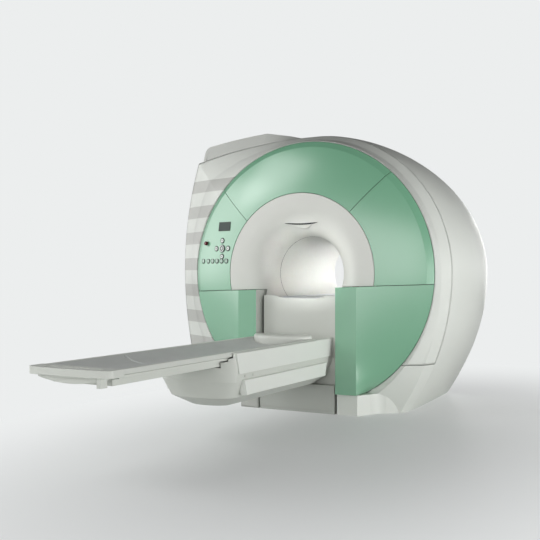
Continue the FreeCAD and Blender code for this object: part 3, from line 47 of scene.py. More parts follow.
def addNode(tree, kind, links=None, **settings):
    # one shader node; settings name its properties or its input sockets, links feed its inputs
    node = tree.nodes.new(kind)
    for name, value in settings.items():
        if hasattr(node, name):
            setattr(node, name, value)
        else:
            node.inputs[name.replace("_", " ")].default_value = value
    for name, source in (links or {}).items():
        tree.links.new(source, node.inputs[name])
    return node


def newMaterial(name):
    material = bpy.data.materials.new(name)
    material.use_nodes = True
    tree = material.node_tree
    tree.nodes.clear()
    return material, tree


def finishMaterial(tree, shader):
    addNode(tree, "ShaderNodeOutputMaterial", {"Surface": shader.outputs[0]})


def objectPlace(tree):
    return addNode(tree, "ShaderNodeTexCoord").outputs["Object"]


def noise(tree, place, scale, detail):
    # cloudy values about 0.5, with features roughly 1 / scale metres across
    return addNode(tree, "ShaderNodeTexNoise", {"Vector": place}, Scale=scale, Detail=detail).outputs["Fac"]


def smoothStep(tree, value, start, end):
    # 0 up to start and 1 from end on: 3 t^2 - 2 t^3 between them, t = (value - start) / (end - start)
    return addNode(tree, "ShaderNodeMapRange", {"Value": value}, From_Min=start, From_Max=end,
                   interpolation_type="SMOOTHSTEP").outputs[0]


def mixColour(tree, factor, first, second):
    # first * (1 - factor) + second * factor; a mix node keeps its colours in inputs 6 and 7 and output 2
    node = addNode(tree, "ShaderNodeMix", data_type="RGBA")
    tree.links.new(factor, node.inputs[0])
    for index, value in ((6, first), (7, second)):
        if isinstance(value, tuple):
            node.inputs[index].default_value = value
        else:
            tree.links.new(value, node.inputs[index])
    return node.outputs[2]


def calc(tree, operation, a, b=None):
    # one sum on one or two values or sockets
    node = addNode(tree, "ShaderNodeMath", operation=operation)
    for index, value in ((0, a), (1, b)):
        if value is None:
            continue
        if isinstance(value, (int, float)):
            node.inputs[index].default_value = value
        else:
            tree.links.new(value, node.inputs[index])
    return node.outputs[0]


# sprayed polyurethane on fibreglass: very smooth, with a faint orange peel and wide clouds
# that change its tone and gloss a little
coverPaint = {"peelSize": 0.006, "peelDepth": 0.00004, "peelStrength": 0.25, "cloudSize": 0.55,
              "cloud": 0.035, "glossChange": 0.04, "coatRoughness": 0.26}


def paintedCover(name, base, roughness=0.34, coat=0.25, stripes=None, inner=None, soft=0.0035, coatIor=1.5):
    # soft is the radius over which the shader rounds the edges
    material, tree = newMaterial(name)
    place = objectPlace(tree)
    cloud = noise(tree, place, 1 / coverPaint["cloudSize"], 3.0)
    colour = mixColour(tree, calc(tree, "MULTIPLY", cloud, coverPaint["cloud"] * 2),
                       hexColour(base), hexColour("#000000"))
    if stripes:
        # horizontal bands: one to each pitch below the first top edge, only left of the line x = edge
        split = addNode(tree, "ShaderNodeSeparateXYZ", {"Vector": place})
        down = calc(tree, "SUBTRACT", stripes["top"], split.outputs["Z"])
        turn = calc(tree, "MODULO", down, stripes["pitch"])
        inBand = calc(tree, "LESS_THAN", turn, stripes["band"])
        below = calc(tree, "GREATER_THAN", down, 0.0)
        left = calc(tree, "LESS_THAN", split.outputs["X"], stripes["edge"])
        mask = calc(tree, "MULTIPLY", calc(tree, "MULTIPLY", inBand, below), left)
        colour = mixColour(tree, mask, colour, hexColour(stripes["colour"]))
    if inner:
        # the walls towards the table bay are grey: |x| below the limit
        split = addNode(tree, "ShaderNodeSeparateXYZ", {"Vector": place})
        near = calc(tree, "LESS_THAN", calc(tree, "ABSOLUTE", split.outputs["X"]), inner["limit"])
        colour = mixColour(tree, near, colour, hexColour(inner["colour"]))
    peel = noise(tree, place, 1 / coverPaint["peelSize"], 1.0)
    edges = addNode(tree, "ShaderNodeBevel", samples=4, Radius=soft)
    bump = addNode(tree, "ShaderNodeBump", {"Height": peel, "Normal": edges.outputs["Normal"]},
                   Strength=coverPaint["peelStrength"], Distance=coverPaint["peelDepth"])
    change = coverPaint["glossChange"]
    rough = calc(tree, "ADD", calc(tree, "MULTIPLY", cloud, change * 2), roughness - change)
    shader = addNode(tree, "ShaderNodeBsdfPrincipled",
                     {"Base Color": colour, "Roughness": rough, "Normal": bump.outputs["Normal"]},
                     IOR=1.5, Coat_Weight=coat, Coat_Roughness=coverPaint["coatRoughness"],
                     Coat_IOR=coatIor)
    finishMaterial(tree, shader)
    return material


stripeSet = {"top": 1.898, "pitch": 0.2273, "band": 0.106, "edge": -0.35, "colour": "#B9BAB5"}
greenLook = {"base": "#79B190", "roughness": 0.42, "coat": 1.0, "coatIor": 1.75}
greenPaint = paintedCover("greenLacquer", **greenLook)
lowerPaint = paintedCover("greenLacquerGreyInside", **greenLook,
                          inner={"limit": 0.3478, "colour": "#C2C6BF"})
whitePaint = paintedCover("whiteLacquer", "#DADDD7")
supportPaint = paintedCover("greyLacquerFine", "#D2D5CE", roughness=0.4)
bandPaint = paintedCover("whiteLacquerFine", "#E6E9E3", roughness=0.38)
towerPaint = paintedCover("towerLacquer", "#D4D7D0", roughness=0.42, coat=0.1)
stripedPaint = paintedCover("bandedLacquer", "#DADDD7", stripes=stripeSet, soft=0.03)
# grey lacquer of the crest, lighter than the stripes' grey as painted light on its top
crestGreyPaintedLight = paintedCover("greyLacquer", "#CDCFCA")
# painted shade: the tower base's lacquer is a darker copy of the tower's, for the shadow the base stands in
baseShadePaint = paintedCover("baseLacquerPaintedShade", "#B4B7B1", roughness=0.45, coat=0.1)
linerShell = paintedCover("ivoryGelcoat", "#DADBD5", roughness=0.42, coat=0.15)
boardLaminate = paintedCover("tableLaminate", "#D2D5CE", roughness=0.4, coat=0.1)


# painted shade on the sides of the panel's keys: a normal counts as a side's where it turns away from
# the panel's own direction, share of face colour = smooth step of normal . direction
keyShadeSides = {"colour": "#3A4B43", "direction": (-0.27, -0.96, 0.06), "from": 0.8, "to": 0.93}
plastic = {"cloudScale": 4.0, "cloud": 0.08, "grainStrength": 0.4, "glossChange": 0.05}


def mouldedPlastic(name, base, grain=0.0012, depth=0.00008, roughness=0.5, sides=None):
    # fine spark texture of injection moulded plastic, drawn at about a millimetre so that it shows
    material, tree = newMaterial(name)
    place = objectPlace(tree)
    fine = noise(tree, place, 1 / grain, 2.0)
    wide = noise(tree, place, plastic["cloudScale"], 3.0)
    colour = mixColour(tree, calc(tree, "MULTIPLY", wide, plastic["cloud"]),
                       hexColour(base), hexColour("#000000"))
    # painted shade: faces that turn away from the panel's direction take the dark side colour
    if sides:
        normal = addNode(tree, "ShaderNodeNewGeometry").outputs["Normal"]
        facing = addNode(tree, "ShaderNodeVectorMath", {0: normal}, operation="DOT_PRODUCT")
        facing.inputs[1].default_value = sides["direction"]
        face = smoothStep(tree, facing.outputs["Value"], sides["from"], sides["to"])
        colour = mixColour(tree, face, hexColour(sides["colour"]), colour)
    bump = addNode(tree, "ShaderNodeBump", {"Height": fine},
                   Strength=plastic["grainStrength"], Distance=depth)
    change = plastic["glossChange"]
    rough = calc(tree, "ADD", calc(tree, "MULTIPLY", fine, change * 2), roughness - change)
    shader = addNode(tree, "ShaderNodeBsdfPrincipled",
                     {"Base Color": colour, "Roughness": rough, "Normal": bump.outputs["Normal"]}, IOR=1.46)
    finishMaterial(tree, shader)
    return material


capPlastic = mouldedPlastic("capPlastic", "#C3C6BF")
darkPlastic = mouldedPlastic("darkPlastic", "#34383A")
keyPlastic = mouldedPlastic("keyPlastic", "#DDE3DF", grain=0.0006, roughness=0.4, sides=keyShadeSides)
rowPlastic = mouldedPlastic("rowKeyPlastic", "#B4CCBE", grain=0.0006, roughness=0.45, sides=keyShadeSides)
bezelPlastic = mouldedPlastic("bezelPlastic", "#2F4038", grain=0.0006, roughness=0.5)
stopPlastic = mouldedPlastic("stopPlastic", "#5E1020", grain=0.0008, depth=0.00002, roughness=0.25)
rollerRubber = mouldedPlastic("rollerRubber", "#3A3C3E", roughness=0.7)
pottedCoil = mouldedPlastic("pottedCoil", "#8A6A45", grain=0.004, depth=0.0004)


drawnMetal = {"lines": 0.0015, "stretch": 0.04, "depth": 0.00003, "strength": 0.3, "glossChange": 0.08}


def metal(name, base, roughness):
    # machined or drawn metal: fine lines drawn out along y change the gloss and the relief
    material, tree = newMaterial(name)
    drawn = addNode(tree, "ShaderNodeMapping", {"Vector": objectPlace(tree)})
    drawn.inputs["Scale"].default_value = (1.0, drawnMetal["stretch"], 1.0)
    streak = noise(tree, drawn.outputs[0], 1 / drawnMetal["lines"], 2.0)
    change = drawnMetal["glossChange"]
    rough = calc(tree, "ADD", calc(tree, "MULTIPLY", streak, change * 2), roughness - change)
    bump = addNode(tree, "ShaderNodeBump", {"Height": streak},
                   Strength=drawnMetal["strength"], Distance=drawnMetal["depth"])
    shader = addNode(tree, "ShaderNodeBsdfPrincipled",
                     {"Roughness": rough, "Normal": bump.outputs["Normal"]}, Metallic=1.0)
    shader.inputs["Base Color"].default_value = hexColour(base)
    finishMaterial(tree, shader)
    return material


steel = metal("machinedSteel", "#B4B6B8", 0.3)
aluminium = metal("extrudedAluminium", "#C9CBCD", 0.36)
powderSteel = mouldedPlastic("powderCoat", "#5B6066", grain=0.0018, depth=0.0002, roughness=0.55)
vesselPaint = mouldedPlastic("vesselPaint", "#C9CCCF", grain=0.003, roughness=0.4)


glass = {"dark": "#38433F", "light": "#48534E", "cloudScale": 9.0, "roughness": 0.45}


def displayGlass(name):
    # printed cover glass, switched off: dark and satin, with a faint change of tone
    material, tree = newMaterial(name)
    tone = noise(tree, objectPlace(tree), glass["cloudScale"], 1.0)
    colour = mixColour(tree, tone, hexColour(glass["dark"]), hexColour(glass["light"]))
    shader = addNode(tree, "ShaderNodeBsdfPrincipled", {"Base Color": colour},
                     Roughness=glass["roughness"], IOR=1.3)
    finishMaterial(tree, shader)
    return material


screenGlass = displayGlass("printedGlass")


fabric = {"weave": 0.0035, "cloudScale": 5.0, "cloud": 0.16, "shade": "#5C605F", "depth": 0.0003,
          "strength": 0.35, "roughness": 0.5, "glossChange": 0.12}


def coatedFabric(name, base):
    # polyurethane coated knit, wipe-clean: soft sheen with a tight weave, drawn coarser so that it shows;
    # relief = sin(2 pi x / weave) * sin(2 pi y / weave) / 2 + cloud
    material, tree = newMaterial(name)
    place = objectPlace(tree)
    split = addNode(tree, "ShaderNodeSeparateXYZ", {"Vector": place})
    turns = 2 * math.pi / fabric["weave"]
    across, along = (calc(tree, "SINE", calc(tree, "MULTIPLY", split.outputs[axis], turns)) for axis in "XY")
    knit = calc(tree, "MULTIPLY", across, along)
    cloud = noise(tree, place, fabric["cloudScale"], 4.0)
    colour = mixColour(tree, calc(tree, "MULTIPLY", cloud, fabric["cloud"]),
                       hexColour(base), hexColour(fabric["shade"]))
    grain = calc(tree, "ADD", calc(tree, "MULTIPLY", knit, 0.5), cloud)
    bump = addNode(tree, "ShaderNodeBump", {"Height": grain},
                   Strength=fabric["strength"], Distance=fabric["depth"])
    rough = calc(tree, "ADD", calc(tree, "MULTIPLY", cloud, fabric["glossChange"]), fabric["roughness"])
    shader = addNode(tree, "ShaderNodeBsdfPrincipled",
                     {"Base Color": colour, "Roughness": rough, "Normal": bump.outputs["Normal"]},
                     Sheen_Weight=0.15, Sheen_Roughness=0.4)
    finishMaterial(tree, shader)
    return material


padFabric = coatedFabric("coatedPadFabric", "#C8CBC8")

# the material of each CAD piece; the two mattresses have none here, because modelled pads replace them
nodeFinish = {
    "ring_top": greenPaint, "ring_left": greenPaint, "ring_right": greenPaint,
    "ring_lower_left": lowerPaint, "ring_lower_right": lowerPaint,
    "front_shell": stripedPaint, "side_cover_left": whitePaint, "side_cover_right": whitePaint,
    "crest_cover": crestGreyPaintedLight, "skirt_left": stripedPaint, "skirt_right": whitePaint,
    "rear_cover": whitePaint, "rear_funnel": linerShell, "front_funnel": linerShell,
    "bore_liner": linerShell, "bore_track": aluminium, "rf_body_coil": pottedCoil,
    "gradient_coil": pottedCoil, "coil_wedges": darkPlastic, "magnet_vessel": vesselPaint,
    "magnet_feet": powderSteel, "cold_head": steel, "cover_frame": powderSteel,
    "tower_panel": towerPaint, "tower_base": baseShadePaint, "tower_frame": towerPaint,
    "guide_rail_left": steel, "guide_rail_right": steel, "lift_motor": powderSteel,
    "lift_screw": steel, "lift_carriage": towerPaint, "table_beam": powderSteel,
    "table_support": supportPaint, "screw_caps": capPlastic, "table_board": boardLaminate,
    "head_cap": boardLaminate, "end_lip": boardLaminate, "display": screenGlass,
    "stop_collar": greenPaint, "stop_button": stopPlastic, "jog_dial": keyPlastic,
}
for name, item in nodes.items():
    if name.startswith("band_"):
        finish = bandPaint
    elif name.startswith("row_key"):
        finish = rowPlastic
    elif name.startswith("key_"):
        finish = keyPlastic
    elif name.startswith("support_roller"):
        finish = rollerRubber
    else:
        finish = nodeFinish.get(name)
    if finish is None:
        continue
    for slot in item.material_slots:
        slot.material = finish
print("finishes on", len(nodes), "CAD pieces")


def gridMesh(name, points, material, closeU=False, closeV=False, body="scanner"):
    # points is (nu, nv, 3), or (count, nu, nv, 3) for several alike; each cell of a grid is one quad
    points = points if points.ndim == 4 else points[None]
    count, nu, nv = points.shape[:3]
    index = np.arange(nu * nv).reshape(nu, nv)
    rows = np.concatenate([index, index[:1]], 0) if closeU else index
    rows = np.concatenate([rows, rows[:, :1]], 1) if closeV else rows
    quads = np.stack([rows[:-1, :-1], rows[1:, :-1], rows[1:, 1:], rows[:-1, 1:]], -1).reshape(-1, 4)
    quads = (quads[None] + (np.arange(count) * nu * nv)[:, None, None]).reshape(-1, 4)
    mesh = bpy.data.meshes.new(name)
    mesh.from_pydata(points.reshape(-1, 3).tolist(), [], quads.tolist())
    mesh.shade_smooth()
    item = bpy.data.objects.new(name, mesh)
    bpy.context.collection.objects.link(item)
    mesh.materials.append(material)
    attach(item, body)
    return item


def closeMesh(item, distance=0.00005):
    # merges doubles, fills open ends and turns all faces outwards
    work = bmesh.new()
    work.from_mesh(item.data)
    bmesh.ops.remove_doubles(work, verts=work.verts, dist=distance)
    holes = [e for e in work.edges if len(e.link_faces) == 1]
    if holes:
        bmesh.ops.holes_fill(work, edges=holes)
    bmesh.ops.recalc_face_normals(work, faces=work.faces)
    work.to_mesh(item.data)
    work.free()


# mattress: two pads in the trough of the table. Each end of a pad is a place along y and a bow;
# half is half a pad's width, and chord half the trough's, at the height edgeZ
padSize = {"half": 0.247, "chord": 0.25, "edgeZ": 0.5923, "trough": 0.066, "sag": 0.042, "rise": 0.005,
           "round": 0.011, "headEnd": -3.3255, "joint": -2.745, "jointBow": 0.09, "jointGap": 0.002,
           "foot": -1.225, "footBow": 0.19, "footStop": -1.0625, "clear": 0.0003, "weld": 0.00035,
           "sewnIn": 0.022, "sewnWide": 0.0016, "sewnDeep": 0.0012, "hollow": 0.0006, "hollowPitch": 0.31,
           "crowding": 1.35, "grid": (97, 241)}
straightRadius = 1e6


def bowLine(x, start, deep):
    # an arc that comes deep further at x = chord: y = start + R - sqrt(R^2 - x^2), and the cosine
    # of its slope, sqrt(R^2 - x^2) / R, which turns a step along y into a distance from the line
    radius = (padSize["chord"] ** 2 + deep ** 2) / (2 * deep) if deep else straightRadius
    drop = np.sqrt(radius ** 2 - x ** 2)
    return start + radius - drop, drop / radius


def padSurface(name, starts, ends, node):
    # u across and v along, both with their rows crowded at the border:
    # height = trough arc + thickness * rounding, rounding = sqrt(1 - (1 - d / round)^2),
    # thickness = rise + (trough - sag) * (1 - (x / chord)^2), d = distance from the border
    nu, nv = padSize["grid"]
    half = padSize["half"]
    u = np.linspace(-1, 1, nu)
    u = np.sign(u) * (1 - (1 - np.abs(u)) ** padSize["crowding"])
    x = (half * u)[:, None] * np.ones((1, nv))
    v = 0.5 - 0.5 * np.cos(math.pi * np.linspace(0, 1, nv))
    yStart, startSlope = bowLine(x, *starts)
    yEnd, endSlope = bowLine(x, *ends)
    yEnd = np.minimum(yEnd, padSize["footStop"])
    y = yStart + (yEnd - yStart) * v[None, :]
    arch = 1 - (x / padSize["chord"]) ** 2
    below = padSize["edgeZ"] - padSize["trough"] * arch
    thick = padSize["rise"] + (padSize["trough"] - padSize["sag"]) * arch
    edge = np.minimum(half - np.abs(x), np.minimum((y - yStart) * startSlope, (yEnd - y) * endSlope))
    gap = np.clip(edge / padSize["round"], 0, 1)
    swell = np.sqrt(1 - (1 - gap) ** 2)
    # a sewn line inside the border, exp(-((d - sewnIn) / sewnWide)^2) deep, and soft hollows
    seam = np.exp(-((edge - padSize["sewnIn"]) / padSize["sewnWide"]) ** 2) * padSize["sewnDeep"]
    wave = padSize["hollow"] * np.sin(2 * math.pi * y / padSize["hollowPitch"]) * np.cos(math.pi * x / half)
    top = below + thick * swell - seam * swell + wave * swell
    upper = np.stack([x, y, top], -1)
    lower = np.stack([x, y, below + padSize["clear"]], -1)[:, ::-1]
    # around the section: over the top, then back along the underside
    shell = gridMesh(name, np.concatenate([upper, lower], 1), padFabric, closeV=True, body="tabletop")
    closeMesh(shell, padSize["weld"])
    shell.data.shade_smooth()
    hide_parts(node)


padSurface("headPad", (padSize["headEnd"], 0.0),
           (padSize["joint"] - padSize["jointGap"], padSize["jointBow"]), "mattress_head")
padSurface("bodyPad", (padSize["joint"], padSize["jointBow"]), (padSize["foot"], padSize["footBow"]),
           "mattress_body")
print("pads")

# controls: dark bezels round the keys and the dial, drawn wide so that they also stand for the shade round
# the keys as painted shade; arrows on the four direction keys.
# The ring's dome is an arc through lip and shoulder, (r, y) pairs, with its crown proud by the bulge;
# the keys stand at the CAD's places (x, z)
panel = {"iso": 1.085, "lip": (0.639, -0.766), "shoulder": (1.012, -0.652), "bulge": 0.013,
         "dial": (-0.729, 1.290), "circle": 0.066, "row": 1.187, "alone": -0.958, "first": -0.893,
         "pitch": 0.0535, "rowCount": 5, "dialRadius": 0.027, "arrowRadius": 0.017, "rowRadius": 0.016,
         "clear": 0.0004, "wide": 0.0060, "meet": 0.0013, "proud": 0.003, "root": -0.002, "corner": 0.001,
         "ringSteps": 40, "ringWidths": (0, 0, 0.2, 0.8, 1, 1), "grooveInner": 0.0125, "grooveWide": 0.0075,
         "grooveSunk": 0.001, "arrow": 0.0075, "arrowTurns": (0.0, 130.0, 180.0, 230.0),
         "arrowReach": (1.0, 1.0, 0.35, 1.0), "arrowSunk": 0.0005, "mark": 0.0004}


def domeFrame(x, z):
    # the arc turns about the bore's axis: y = centreY - sqrt(R^2 - (r - centreR)^2), with R from
    # chord and rise; returns the point there and the directions right, up and out of the dome
    (ax, ay), (cx, cy) = panel["lip"], panel["shoulder"]
    bx, by = (ax + cx) / 2, (ay + cy) / 2 - panel["bulge"]
    chord = math.hypot(cx - ax, cy - ay)
    rise = abs((cx - ax) * (ay - by) - (ax - bx) * (cy - ay)) / chord
    radius = (chord ** 2 / 4 + rise ** 2) / (2 * rise)
    ux, uy = (cx - ax) / chord, (cy - ay) / chord
    ox = (ax + cx) / 2 - uy * (radius - rise)
    oy = (ay + cy) / 2 + ux * (radius - rise)
    r = np.hypot(x, z - panel["iso"])
    y = oy - np.sqrt(radius ** 2 - (r - ox) ** 2)
    normal = np.stack([(r - ox) / radius * x / r, (y - oy) / radius,
                       (r - ox) / radius * (z - panel["iso"]) / r], -1)
    across = np.cross(normal, [0.0, 0.0, 1.0])
    across /= np.linalg.norm(across, axis=-1, keepdims=True)
    return np.stack([x, y, z], -1), -across, np.cross(normal, -across), normal


def keyRings(name, centres, inner, wide, low, high, body="scanner", towards=0):
    # round each centre: a ring whose section goes up, over two soft corners and down again;
    # towards a close neighbour above (1) or below (-1) it is no wider than
    # (inner + meet) / sin(turn) - inner, so that it stops on a straight line between the two
    spots = np.array(centres)
    place, right, up, out = (a[:, None, None, :] for a in domeFrame(spots[:, 0], spots[:, 1]))
    turn = np.linspace(0, 2 * math.pi, panel["ringSteps"], endpoint=False)[None, :, None, None]
    room = (inner + panel["meet"]) / np.maximum(np.sin(turn) * towards, 0.05) - inner
    wide = np.minimum(wide, room)
    reach = inner + wide * np.array(panel["ringWidths"])[None, None, :, None]
    corner = min(panel["corner"], (high - low) / 3)
    height = np.array([low, high - corner, high, high, high - corner, low])[None, None, :, None]
    points = place + reach * (np.cos(turn) * right + np.sin(turn) * up) + height * out
    closeMesh(gridMesh(name, points, bezelPlastic, True, True, body))


dialX, dialZ = panel["dial"]
arrowKeys = [(dialX + panel["circle"] * math.cos(a), dialZ + panel["circle"] * math.sin(a))
             for a in (0, math.pi / 2, math.pi, 3 * math.pi / 2)]
rowKeys = [(panel["alone"], panel["row"])]
rowKeys += [(panel["first"] + i * panel["pitch"], panel["row"]) for i in range(panel["rowCount"])]
for stem, spots, radius, towards in (("arrowBezelsAndShade", arrowKeys[:3], panel["arrowRadius"], 0),
                                     ("downBezelAndShade", arrowKeys[3:], panel["arrowRadius"], -1),
                                     ("rowBezelsAndShade", rowKeys, panel["rowRadius"], 1),
                                     ("dialBezelAndShade", [panel["dial"]], panel["dialRadius"], 0)):
    keyRings(stem, spots, radius + panel["clear"], panel["wide"], panel["root"], panel["proud"],
             towards=towards)


def faceHeight(node, spot):
    # how far a button's face stands over the dome, along the dome's normal
    place, _, _, out = domeFrame(np.array([spot[0]]), np.array([spot[1]]))
    corners = np.empty(len(nodes[node].data.vertices) * 3)
    nodes[node].data.vertices.foreach_get("co", corners)
    return float(((corners.reshape(-1, 3) - place) @ out[0]).max())


# a dark ring on the dial's face
dialFace = faceHeight("jog_dial", panel["dial"])
keyRings("dialGroove", [panel["dial"]], panel["grooveInner"], panel["grooveWide"],
         dialFace - panel["grooveSunk"], dialFace + panel["mark"], "jog_dial_body")

# a raised arrowhead on each direction key, pointing away from the dial
for node, spot, angle in zip(("key_in", "key_up", "key_out", "key_down"), arrowKeys, (0, 90, 180, 270)):
    place, right, up, out = (a[0] for a in domeFrame(np.array([spot[0]]), np.array([spot[1]])))
    top = faceHeight(node, spot)
    turns = np.radians(angle + np.array(panel["arrowTurns"]))
    reach = panel["arrow"] * np.array(panel["arrowReach"])
    rim = place + reach[:, None] * (np.cos(turns)[:, None] * right + np.sin(turns)[:, None] * up)
    layers = np.stack([rim + (top - panel["arrowSunk"]) * out, rim + (top + panel["mark"]) * out], 1)
    arrow = gridMesh(node + "_arrow", layers, bezelPlastic, closeU=True, body=node + "_body")
    closeMesh(arrow)
    arrow.data.shade_flat()
print("control panel")

# thin gasket where the funnel meets the bore liner
gasket = {"at": -0.5152, "inner": 0.2988, "outer": 0.3008, "half": 0.0019, "steps": 160}
turn = np.linspace(0, 2 * math.pi, gasket["steps"], endpoint=False)[:, None]
ringR = np.array([gasket["outer"], gasket["inner"], gasket["inner"], gasket["outer"]])[None, :]
ringY = gasket["at"] + np.array([-1, -0.7, 0.7, 1])[None, :] * gasket["half"]
gasketPoints = np.stack([ringR * np.cos(turn), ringY + 0 * turn, panel["iso"] + ringR * np.sin(turn)], -1)
closeMesh(gridMesh("boreGasket", gasketPoints, rollerRubber, True, True))

# lids over and under the light slit: shallow swellings of the funnel's bell, whose outer radius is
# reach and which meets the bore liner at y = join; half is half the slit's length
lids = {"half": 0.150, "lowerShare": 0.65, "slitShare": 0.97, "slit": 1.487, "gap": 0.0045, "bell": 0.25,
        "reach": 0.55, "join": -0.5153, "upperTall": 0.074, "upperProud": 0.016, "lowerTall": 0.036,
        "lowerProud": 0.012, "lift": 0.0002, "slitLift": 0.002, "deep": 0.003, "grid": (73, 25)}


def lidSurface(name, side, tall, proud, half, gap, material, lift):
    # u runs along the slit, v away from it: z = slit +- (gap * a + tall * v * a^0.7), a = 1 - u^2;
    # height over the bell = proud * a^1.5 * (1 - v)^2 above the slit,
    # and a roll below it, proud * a * sin(pi * v^1.5)^2 * (0.6 + 0.4 * u)
    u = np.linspace(-1, 1, lids["grid"][0])[:, None]
    v = np.linspace(0, 1, lids["grid"][1])[None, :]
    arch = 1 - u ** 2
    x = half * u + 0 * v
    z = lids["slit"] + side * (gap * arch + tall * v * arch ** 0.7)
    r = np.hypot(x, z - panel["iso"])
    bend = np.clip(lids["reach"] - r, 0, lids["bell"])
    y = lids["join"] - np.sqrt(lids["bell"] ** 2 - bend ** 2)
    inward = np.stack([-bend / lids["bell"] * x / r, -np.sqrt(1 - (bend / lids["bell"]) ** 2),
                       -bend / lids["bell"] * (z - panel["iso"]) / r], -1)
    if side > 0:
        height = proud * arch ** 1.5 * (1 - v) ** 2
    else:
        height = proud * arch * np.sin(math.pi * v ** 1.5) ** 2 * (0.6 + 0.4 * u)
    base = np.stack([x, y, z], -1)
    upper = base + (height[..., None] + lift) * inward
    lower = base - lids["deep"] * inward
    closeMesh(gridMesh(name, np.concatenate([upper, lower[:, ::-1]], 1), material, closeV=True))


lidSurface("lampLidUpper", 1, lids["upperTall"], lids["upperProud"], lids["half"], lids["gap"],
           linerShell, lids["lift"])
lidSurface("lampLidLower", -1, lids["lowerTall"], lids["lowerProud"], lids["half"] * lids["lowerShare"],
           3 * lids["gap"], linerShell, lids["lift"])
# the slit's shade is painted as a dark sheet across the gap, from one gap above its middle line to three
# below
lidSurface("lampSlitShade", -1, 4 * lids["gap"], 0.0, lids["half"] * lids["slitShare"], -lids["gap"],
           rollerRubber, lids["slitLift"])

# lower part of the rear funnel, which the CAD lacks between the bore and the rear cover under the track:
# from the radius wide at y = start out to the radius reach, cut off level at the height top
lip = {"start": 0.5156, "wide": 0.3003, "reach": 0.3596, "top": 0.8844, "wall": 0.004, "grid": (17, 61)}


def rearLipSurface():
    # the bell is an arc: r = wide + bell * (1 - cos swing), y = start + bell * sin swing,
    # and each row ends where z = iso + r * sin(turn) comes to the top; the outer side lies a wall away
    rows, columns = lip["grid"]
    swing = np.linspace(0, math.acos(1 - (lip["reach"] - lip["wide"]) / lids["bell"]), rows)[:, None]
    inner = lip["wide"] + lids["bell"] * (1 - np.cos(swing))
    spread = np.arccos((panel["iso"] - lip["top"]) / inner)
    turn = -math.pi / 2 + spread * np.linspace(-1, 1, columns)[None, :]
    sides = []
    for deep in (0.0, lip["wall"]):
        r = inner + deep * np.cos(swing)
        y = lip["start"] + (lids["bell"] - deep) * np.sin(swing) + 0 * turn
        sides.append(np.stack([r * np.cos(turn), y, panel["iso"] + r * np.sin(turn)], -1))
    shell = gridMesh("rearFunnelLip", np.concatenate([sides[0], sides[1][::-1]], 0), linerShell, closeU=True)
    closeMesh(shell)


rearLipSurface()
print("bore details")

# lower side bands: flat plates on the leaning side of the support; their slanted ends lie between
# headLow and headHigh, and footLow and footHigh, along y
band = {"face": 0.3095, "inside": 0.262, "low": 0.310, "high": 0.410, "headLow": -2.11, "headHigh": -2.14,
        "footLow": -0.936, "footHigh": -0.912, "edge": 0.004, "along": (0.0, 0.003, 0.997, 1.0)}
inside, face, low, high, edge = (band[key] for key in ("inside", "face", "low", "high", "edge"))
for side, node in ((1, "band_lower_right"), (-1, "band_lower_left")):
    # the section runs round a rectangle with two cut corners, and an end's y goes in a straight line
    # with the height: y = headLow + (headHigh - headLow) * rise, and the foot's likewise
    sectionX = np.array([inside, face - edge, face, face, face - edge, inside]) * side
    sectionZ = np.array([low, low, low + edge, high - edge, high, high])
    rise = (sectionZ - low) / (high - low)
    head = band["headLow"] + (band["headHigh"] - band["headLow"]) * rise
    foot = band["footLow"] + (band["footHigh"] - band["footLow"]) * rise
    plateY = head + (foot - head) * np.array(band["along"])[:, None]
    points = np.stack([sectionX + 0 * plateY, plateY, sectionZ + 0 * plateY], -1)
    plate = gridMesh("plate_" + node, points, bandPaint, closeV=True, body="lift")
    closeMesh(plate)
    plate.data.shade_flat()
    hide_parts(node)
print("side bands")

# room: the floor's patch of painted shade is an oval, with its middle where place * squeeze + shift = 0
room = {"backdrop": "#ECEEEE", "paintedFloorShade": "#E0E2E1", "floorFar": "#EEF0F0", "size": 26.0, "lift": 0.18,
        "shift": (-1.35, 1.2, 0.0), "squeeze": (1.5, 0.8, 1.0), "shadeFrom": 0.8, "glowFrom": 0.6, "to": 4.0}


def stageFloor():
    # pale floor, painted darker near the object as painted shade, and fading into the backdrop for the
    # camera alone:
    # share of backdrop = lift + (1 - lift) * smooth step of the distance from the oval's middle
    size = room["size"]
    corners = [(-size, -size, 0), (size, -size, 0), (size, size, 0), (-size, size, 0)]
    mesh = bpy.data.meshes.new("studioFloor")
    mesh.from_pydata(corners, [], [(0, 1, 2, 3)])
    floor = bpy.data.objects.new("studioFloor", mesh)
    bpy.context.collection.objects.link(floor)
    material, tree = newMaterial("studioFloorVinyl")
    oval = addNode(tree, "ShaderNodeMapping", {"Vector": objectPlace(tree)})
    oval.inputs["Location"].default_value = room["shift"]
    oval.inputs["Scale"].default_value = room["squeeze"]
    far = addNode(tree, "ShaderNodeVectorMath", {0: oval.outputs[0]}, operation="LENGTH").outputs["Value"]
    fade = smoothStep(tree, far, room["shadeFrom"], room["to"])
    colour = mixColour(tree, fade, hexColour(room["paintedFloorShade"]), hexColour(room["floorFar"]))
    shader = addNode(tree, "ShaderNodeBsdfPrincipled", {"Base Color": colour}, Roughness=0.5, IOR=1.4,
                     Specular_IOR_Level=0.2)
    glow = addNode(tree, "ShaderNodeEmission", Strength=1.0)
    glow.inputs["Color"].default_value = hexColour(room["backdrop"])
    reach = smoothStep(tree, far, room["glowFrom"], room["to"])
    share = calc(tree, "ADD", calc(tree, "MULTIPLY", reach, 1 - room["lift"]), room["lift"])
    seen = addNode(tree, "ShaderNodeLightPath").outputs["Is Camera Ray"]
    mixed = addNode(tree, "ShaderNodeMixShader", {0: calc(tree, "MULTIPLY", share, seen),
                                                  1: shader.outputs[0], 2: glow.outputs[0]})
    addNode(tree, "ShaderNodeOutputMaterial", {"Surface": mixed.outputs[0]})
    mesh.materials.append(material)


stageFloor()

world = bpy.data.worlds.new("studioWorld")
bpy.context.scene.world = world
world.use_nodes = True
tree = world.node_tree
tree.nodes.clear()
